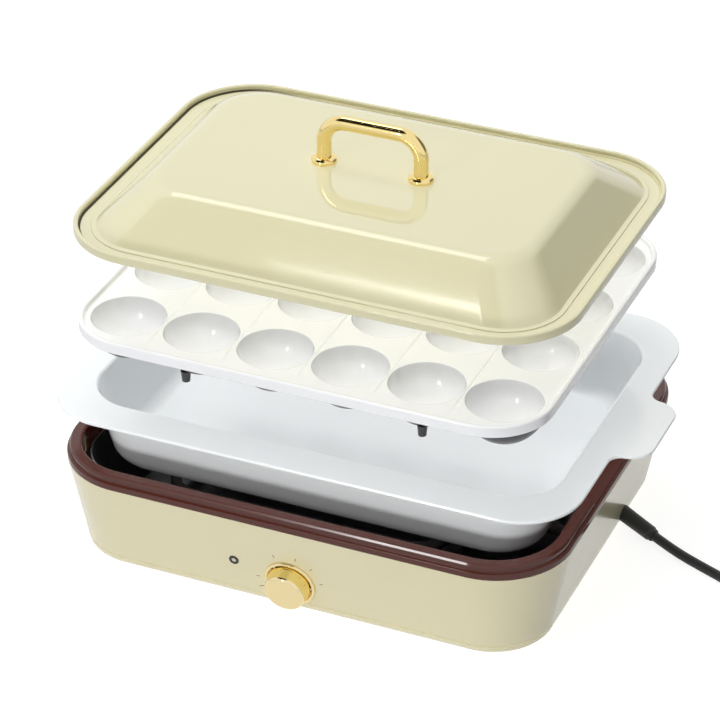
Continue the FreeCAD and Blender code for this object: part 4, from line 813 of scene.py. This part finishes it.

# Lip shade fillet. A fine fillet fills the corner of the ledge along the lip's inner foot, in painted shade
# and painted dark reflection: near-black on the left, fading to the enamel's tone towards the right.
SEAM_BACK = 0.0003
SEAM_REACH = 0.0012
SEAM_SHADE = paint(46, 40, 20)
SEAM_LIGHT = paint(205, 197, 158)
SHADE_ENDS_X = -0.13
LIGHT_STARTS_X = -0.08
seam_low = ledge_z - 0.0002
seam_high = ledge_z + 0.0003
lip_shade_fillet = wall_mesh("lip_shade_fillet", profile([
    lid_station(LID_LIP_WALL - SEAM_BACK, seam_low),
    lid_station(LID_LIP_WALL - SEAM_BACK, seam_high + 0.0006),
    lid_station(LID_LIP_WALL + SEAM_BACK, seam_high + 0.0004),
    lid_station(LID_LIP_WALL + SEAM_REACH, seam_high), lid_station(LID_LIP_WALL + SEAM_REACH, seam_low)]))
# Its colour is painted shade: near-black at the left end, blending into the enamel's tone further right.
seam_painted_shade = material("seam_painted_shade", SEAM_SHADE, (0.5, 0.6))
tree = seam_painted_shade.node_tree
where = tree.nodes.new("ShaderNodeTexCoord")
axes = tree.nodes.new("ShaderNodeSeparateXYZ")
tones = tree.nodes.new("ShaderNodeMix")
tones.data_type = "RGBA"
tones.inputs["A"].default_value = SEAM_SHADE
tones.inputs["B"].default_value = SEAM_LIGHT
tree.links.new(where.outputs["Object"], axes.inputs["Vector"])
tree.links.new(passage(tree, axes.outputs["X"], SHADE_ENDS_X, LIGHT_STARTS_X, 0, 1), tones.inputs["Factor"])
tree.links.new(tones.outputs["Result"], tree.nodes["Principled BSDF"].inputs["Base Color"])
dress(lip_shade_fillet, seam_painted_shade, "lid")

# Lid handle. A round steel bar is bent to a flat arch and plated polished gold. It stands on two turned
# collars of the same gold, and screws hold it from below through the deck.
handle_low, handle_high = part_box("lid_handle")
HANDLE_HALF = 0.0305
BAR_RADIUS = 0.0044
HANDLE_BEND = 0.014
BEND_STEPS = 16
POST_STEPS = 5
bend_z = handle_high.z - BAR_RADIUS - HANDLE_BEND
post_rise = bend_z - handle_low.z
arch = []
for step in range(POST_STEPS + 1):
    arch.append(Vector((-HANDLE_HALF, MIDDLE_Y, handle_low.z + post_rise * step / POST_STEPS)))
for side in (-1, 1):
    for step in range(1 if side < 0 else 0, BEND_STEPS + 1):
        turn = math.radians(90 * step / BEND_STEPS)
        across, rise = (math.cos(turn), math.sin(turn)) if side < 0 else (math.sin(turn), math.cos(turn))
        arch.append(Vector((side * (HANDLE_HALF - HANDLE_BEND + across * HANDLE_BEND), MIDDLE_Y,
                            bend_z + rise * HANDLE_BEND)))
for step in range(1, POST_STEPS + 1):
    arch.append(Vector((HANDLE_HALF, MIDDLE_Y, handle_low.z + post_rise * (1 - step / POST_STEPS))))


def tube_along(name, points, radius):
    """A round bar along points that lie in one upright plane."""
    steps = 32
    mesh = bpy.data.meshes.new(name)
    across = Vector((0, 1, 0))
    verts = []
    for index, point in enumerate(points):
        way = (points[min(index + 1, len(points) - 1)] - points[max(index - 1, 0)]).normalized()
        up = way.cross(across)
        for step in range(steps):
            angle = 2 * math.pi * step / steps
            verts.append(point + across * radius * math.cos(angle) + up * radius * math.sin(angle))
    faces = []
    for start in range(0, (len(points) - 1) * steps, steps):
        for step in range(steps):
            beside = (step + 1) % steps
            faces.append((start + step, start + beside, start + steps + beside, start + steps + step))
    faces += [tuple(range(steps)), tuple(range((len(points) - 1) * steps, len(points) * steps))]
    mesh.from_pydata(verts, [], faces)
    return finished(mesh, name)


bar_gold = polished_gold("bar_gold", paint(243, 220, 154), 0.000002)
handle_bar = tube_along("handle_bar", arch, BAR_RADIUS)
dress(handle_bar, bar_gold, "lid", ["lid_handle"])
COLLAR_RADIUS = 0.00765
COLLAR_HEIGHT = 0.0036
COLLAR_STEPS = 64
collar_section = [
    (0, 0), (COLLAR_RADIUS - 0.0007, 0), (COLLAR_RADIUS - 0.0002, 0.0002), (COLLAR_RADIUS, 0.0008),
    (COLLAR_RADIUS, COLLAR_HEIGHT - 0.0016), (COLLAR_RADIUS - 0.0004, COLLAR_HEIGHT - 0.001),
    (BAR_RADIUS + 0.0014, COLLAR_HEIGHT), (BAR_RADIUS, COLLAR_HEIGHT)]
collar_places = [Matrix.Translation((side * HANDLE_HALF, MIDDLE_Y, lid_high.z)) for side in (-1, 1)]
collar_pair = merged("collar_pair", [lathe("collar", collar_section, place, COLLAR_STEPS)
                                     for place in collar_places])
dress(collar_pair, bar_gold, "lid", ["handle_collars"])

# Mains lead. A black rubber-sheathed lead leaves a soft boot in the right wall, lies on the table and ends in
# a plug. Its unseen length is put away in a tied coil right of the view.
CORD = 0.006
ENTRY_HEIGHT = 0.0113
ENTRY_Y = 0.039 + MIDDLE_Y
HEADING = math.radians(25)
DROOP = math.radians(8)
BOOT_LENGTH = 0.0248
BOOT_ROOT_LIFT = 0.0022
wall_x = RING_HALF_X - (WALL_TOP - ENTRY_HEIGHT) * WALL_DRAFT
boot_root = Vector((wall_x + BOOT_ROOT_LIFT * math.cos(WALL_SLOPE), ENTRY_Y,
                    ENTRY_HEIGHT - BOOT_ROOT_LIFT * math.sin(WALL_SLOPE)))
boot_way = Vector((math.cos(HEADING) * math.cos(DROOP), -math.sin(HEADING) * math.cos(DROOP),
                   -math.sin(DROOP)))
boot_end = boot_root + boot_way * BOOT_LENGTH
COIL_HEADING = math.radians(-25)
COIL_TURNS = 7
COIL_PITCH = 0.0066
COIL_INNER = 0.036
COIL_REACH = COIL_INNER + COIL_TURNS / 4 * COIL_PITCH
coil_start = Vector((0.264, -0.006, 0.0045))
coil_way = Vector((math.cos(COIL_HEADING), math.sin(COIL_HEADING), 0))
coil_centre = coil_start + Vector((-math.sin(COIL_HEADING), math.cos(COIL_HEADING), 0)) * COIL_REACH


def coil_place(angle):
    """Centre of the lead in the coil: it draws in over the first half, climbs a layer and draws out again."""
    past = angle - COIL_TURNS * math.pi
    draw = abs(past)
    climb = 0 if past < 0 else 1
    if draw < math.pi / 2:
        draw = past ** 2 / math.pi + math.pi / 4
        share = past / math.pi + 0.5
        climb = share * share * (3 - 2 * share)
    radius = COIL_REACH - COIL_PITCH / (2 * math.pi) * (COIL_TURNS * math.pi - draw)
    turned = COIL_HEADING - math.pi / 2 + angle
    return coil_centre + Vector((radius * math.cos(turned), radius * math.sin(turned), climb * COIL_PITCH))


coil_end = coil_place(2 * math.pi * COIL_TURNS)
end_start = coil_end + coil_way * CORD
PLUG_TURN = math.radians(-58)
plug_way = Vector((math.cos(PLUG_TURN), math.sin(PLUG_TURN), 0))
plug_rear = Vector((end_start.x + 0.036, end_start.y - 0.034, 0.0085))
TOUCHES_TABLE = (Vector((0.211, 0.0165, 0.0034)), Vector((0.231, 0.0086, 0.003)))
TURN_POINTS = 16
route = [boot_end, boot_end + boot_way * 0.017, *TOUCHES_TABLE, coil_start - coil_way * 0.015, coil_start]
for step in range(1, TURN_POINTS * COIL_TURNS):
    route.append(coil_place(2 * math.pi * step / TURN_POINTS))
route += [coil_end, end_start, end_start + coil_way * 0.018, plug_rear - plug_way * 0.016, plug_rear]
lead_curve = bpy.data.curves.new("mains_lead", "CURVE")
lead_curve.dimensions = "3D"
spline = lead_curve.splines.new("NURBS")
spline.points.add(len(route) - 1)
for point, place in zip(spline.points, route):
    point.co = (*place, 1)
spline.order_u = 3
spline.use_endpoint_u = True
lead_curve.bevel_depth = CORD / 2
lead_curve.bevel_resolution = 6
lead_curve.resolution_u = 6
lead = bpy.data.objects.new("mains_lead", lead_curve)
bpy.context.scene.collection.objects.link(lead)
cord_black = material("cord_black", paint(24, 24, 25), (0.42, 0.52), tone_amount=0.05, ripple_depth=0.00005)
dress(lead, cord_black, "base", ["mains_cord", "cord_coil", "mains_cord_end"])
BOOT_RADIUS = 0.005
BOOT_STEPS = 48
boot_turn = boot_way.to_track_quat("Z", "Y").to_matrix().to_4x4()
boot_section = [(0, -0.004), (BOOT_RADIUS, -0.003), (BOOT_RADIUS, 0),
                (BOOT_RADIUS - 0.0002, BOOT_LENGTH * 0.5)]
for narrower, before_end in ((0.0003, 0.0032), (0.0006, 0.0026), (0.0009, 0.0022), (0.0010, 0.0006),
                             (0.0014, 0)):
    boot_section.append((BOOT_RADIUS - narrower, BOOT_LENGTH - before_end))
boot_section.append((CORD / 2, BOOT_LENGTH))
boot = lathe("cord_boot", boot_section, Matrix.Translation(boot_root) @ boot_turn, BOOT_STEPS)
dress(boot, cord_black, "base", ["cord_bushing"])
dress(nodes["coil_tie"], black_plastic)
dress(nodes["mains_plug"], cord_black)
blade_brass = material("blade_brass", paint(214, 186, 120), (0.22, 0.3), metallic=1.0)
dress(nodes["plug_blades"], blade_brass)

# Table and background. A plain white floor, matt: it lifts itself to white for the camera and a little for
# mirrored rays, more so far from the object, and near the object it keeps the soft shadow.
FLOOR_HALF = 3.0
FLOOR_GREY = 0.65
FLOOR_ROUGHNESS = 0.9
MIRRORED_LIFT = 0.3
NEAR, FAR = 0.5, 2.0
LIFT_NEAR, LIFT_FAR = 0.5, 1.0
floor_mesh = bpy.data.meshes.new("floor")
floor_mesh.from_pydata([(x * FLOOR_HALF, y * FLOOR_HALF, 0) for x, y in ((-1, -1), (1, -1), (1, 1), (-1, 1))],
                       [], [(0, 1, 2, 3)])
floor = bpy.data.objects.new("floor", floor_mesh)
bpy.context.scene.collection.objects.link(floor)
floor_white = bpy.data.materials.new("floor_white")
floor_white.use_nodes = True
tree = floor_white.node_tree
shader = tree.nodes["Principled BSDF"]
shader.inputs["Base Color"].default_value = (FLOOR_GREY, FLOOR_GREY, FLOOR_GREY, 1)
shader.inputs["Roughness"].default_value = FLOOR_ROUGHNESS
shader.inputs["Specular IOR Level"].default_value = 0.0
shader.inputs["Emission Color"].default_value = (1, 1, 1, 1)
path = tree.nodes.new("ShaderNodeLightPath")
place = tree.nodes.new("ShaderNodeTexCoord")
distance = tree.nodes.new("ShaderNodeVectorMath")
distance.operation = "LENGTH"
tree.links.new(place.outputs["Object"], distance.inputs[0])
whiter = passage(tree, distance.outputs["Value"], NEAR, FAR, LIFT_NEAR, LIFT_FAR)
mirrored_lift = reckon(tree, "MULTIPLY", path.outputs["Is Glossy Ray"], MIRRORED_LIFT)
lift = reckon(tree, "MULTIPLY_ADD", path.outputs["Is Camera Ray"], whiter, mirrored_lift)
tree.links.new(lift, shader.inputs["Emission Strength"])
floor.data.materials.append(floor_white)

# Studio dome. The camera and mirrored rays see it white, but for two dark patches, overhead and behind on the
# right, that only mirrored rays see and that draw the dark lines in the gold. The dome's own light falls off
# towards the right and the back.
LIT_SIDE, SHADED_SIDE = 0.42, 0.05
SHADED_WAY = (0.86, 0.42, 0.1)
SHADE_STARTS, SHADE_ENDS = -0.1, 0.7
PATCH_TONE = (0.02, 0.018, 0.015, 1)
DARK_PATCHES = (((-0.33, -0.30, 0.90), 22, 30, 1.0), ((0.75, 0.6, 0.3), 16, 34, 0.85))
world = bpy.data.worlds.new("studio")
bpy.context.scene.world = world
world.use_nodes = True
tree = world.node_tree
background = tree.nodes["Background"]
path = tree.nodes.new("ShaderNodeLightPath")


def highest(first, *others):
    """The largest of several outputs."""
    for other in others:
        first = reckon(tree, "MAXIMUM", first, other)
    return first


shown = highest(*(path.outputs[kind] for kind in ("Is Camera Ray", "Is Glossy Ray", "Is Transmission Ray")))
way = tree.nodes.new("ShaderNodeTexCoord")


def nearness(direction):
    """Cosine between the way a ray looks and a direction."""
    toward = tree.nodes.new("ShaderNodeVectorMath")
    toward.operation = "DOT_PRODUCT"
    toward.inputs[1].default_value = Vector(direction).normalized()
    tree.links.new(way.outputs["Generated"], toward.inputs[0])
    return toward.outputs["Value"]


dome = tree.nodes.new("ShaderNodeMix")
dome.inputs["B"].default_value = 1.0
tree.links.new(shown, dome.inputs["Factor"])
dome_light = passage(tree, nearness(SHADED_WAY), SHADE_STARTS, SHADE_ENDS, LIT_SIDE, SHADED_SIDE, soft=True)
tree.links.new(dome_light, dome.inputs["A"])
tree.links.new(dome.outputs["Result"], background.inputs["Strength"])
dark = []
for direction, inner, outer, depth in DARK_PATCHES:
    edge, core = math.cos(math.radians(outer)), math.cos(math.radians(inner))
    dark.append(passage(tree, nearness(direction), edge, core, 0, depth, soft=True))
mirrored = reckon(tree, "MULTIPLY", highest(*dark), path.outputs["Is Glossy Ray"])
sky = tree.nodes.new("ShaderNodeMix")
sky.data_type = "RGBA"
sky.inputs["A"].default_value = (1, 1, 1, 1)
sky.inputs["B"].default_value = PATCH_TONE
tree.links.new(mirrored, sky.inputs["Factor"])
tree.links.new(sky.outputs["Result"], background.inputs["Color"])

# Lamps. A wide panel overhead casts no shadow, as the pieces were lit one by one, and a low one fills the
# front; neither is mirrored. A small softbox in front draws the highlights in the cups and along the ring,
# a panel behind draws the deck's bright crease, and a long thin tube the streak on the lid's front wall.
OBJECT_MIDDLE = Vector((0, 0, 0.12))


def panel(name, width, depth, energy, side_way, outward, place):
    """A rectangular lamp that shines against its outward direction, its width along its side direction."""
    data = bpy.data.lights.new(name, "AREA")
    data.shape = "RECTANGLE"
    data.size, data.size_y = width, depth
    data.energy = energy
    made = bpy.data.objects.new(name, data)
    turn = Matrix((side_way, outward.cross(side_way), outward)).transposed()
    made.matrix_world = Matrix.Translation(place) @ turn.to_4x4()
    bpy.context.scene.collection.objects.link(made)
    return made


def square_to(way):
    """The direction nearest to the object's long side that stands square to another."""
    return (Vector((1, 0, 0)) - way * way.x).normalized()


def lamp(name, way, distance, size, level, shadow=True, mirrored=True):
    """A soft lamp, aimed at the object's middle. Its level is the light that arrives there."""
    outward = Vector(way).normalized()
    made = panel(name, *size, level * math.pi * distance ** 2 * math.pi, square_to(outward), outward,
                 OBJECT_MIDDLE + outward * distance)
    made.data.use_shadow = shadow
    made.visible_glossy = mirrored


def tube_lamp(name, near, far, width, brightness):
    """A long thin lamp that runs away from the object, so that its mirror image tapers."""
    near, far = Vector(near), Vector(far)
    length = (far - near).length
    along = (far - near).normalized()
    energy = brightness * math.pi * length * width
    panel(name, length, width, energy, along, square_to(along), (near + far) / 2)


lamp("overhead_panel", (-0.1, 0.15, 1.0), 2.0, (0.8, 0.8), 0.66, shadow=False, mirrored=False)
lamp("front_fill", (0.1, -1.0, 0.02), 2.5, (1.4, 0.4), 0.36, mirrored=False)
lamp("front_softbox", (-0.257, -0.870, 0.443), 2.2, (0.22, 0.26), 0.075)
lamp("crease_panel", (-0.66, 0.63, 1.87), 2.08, (0.8, 0.6), 0.09)
tube_lamp("streak_tube", (-0.165, -0.298, 1.152), (-1.847, -1.096, 4.765), 0.007, 11.0)

# Camera. It stands right of the front and above the object, with a long lens, where the photograph was taken
# from. The place and the lens were solved from the rims, the corners and the cups' centres in it.
camera_data = bpy.data.cameras.new("camera")
camera_data.lens = 165.2
camera = bpy.data.objects.new("camera", camera_data)
AZIMUTH = math.radians(23.1)
ELEVATION = math.radians(31.7)
camera.location = (0.65667, -1.55528, 1.15118)
view_way = Vector((-math.sin(AZIMUTH) * math.cos(ELEVATION), math.cos(AZIMUTH) * math.cos(ELEVATION),
                   -math.sin(ELEVATION)))
camera.rotation_euler = view_way.to_track_quat("-Z", "Y").to_euler()
bpy.context.scene.collection.objects.link(camera)
bpy.context.scene.camera = camera
bpy.context.scene.view_settings.view_transform = "Standard"
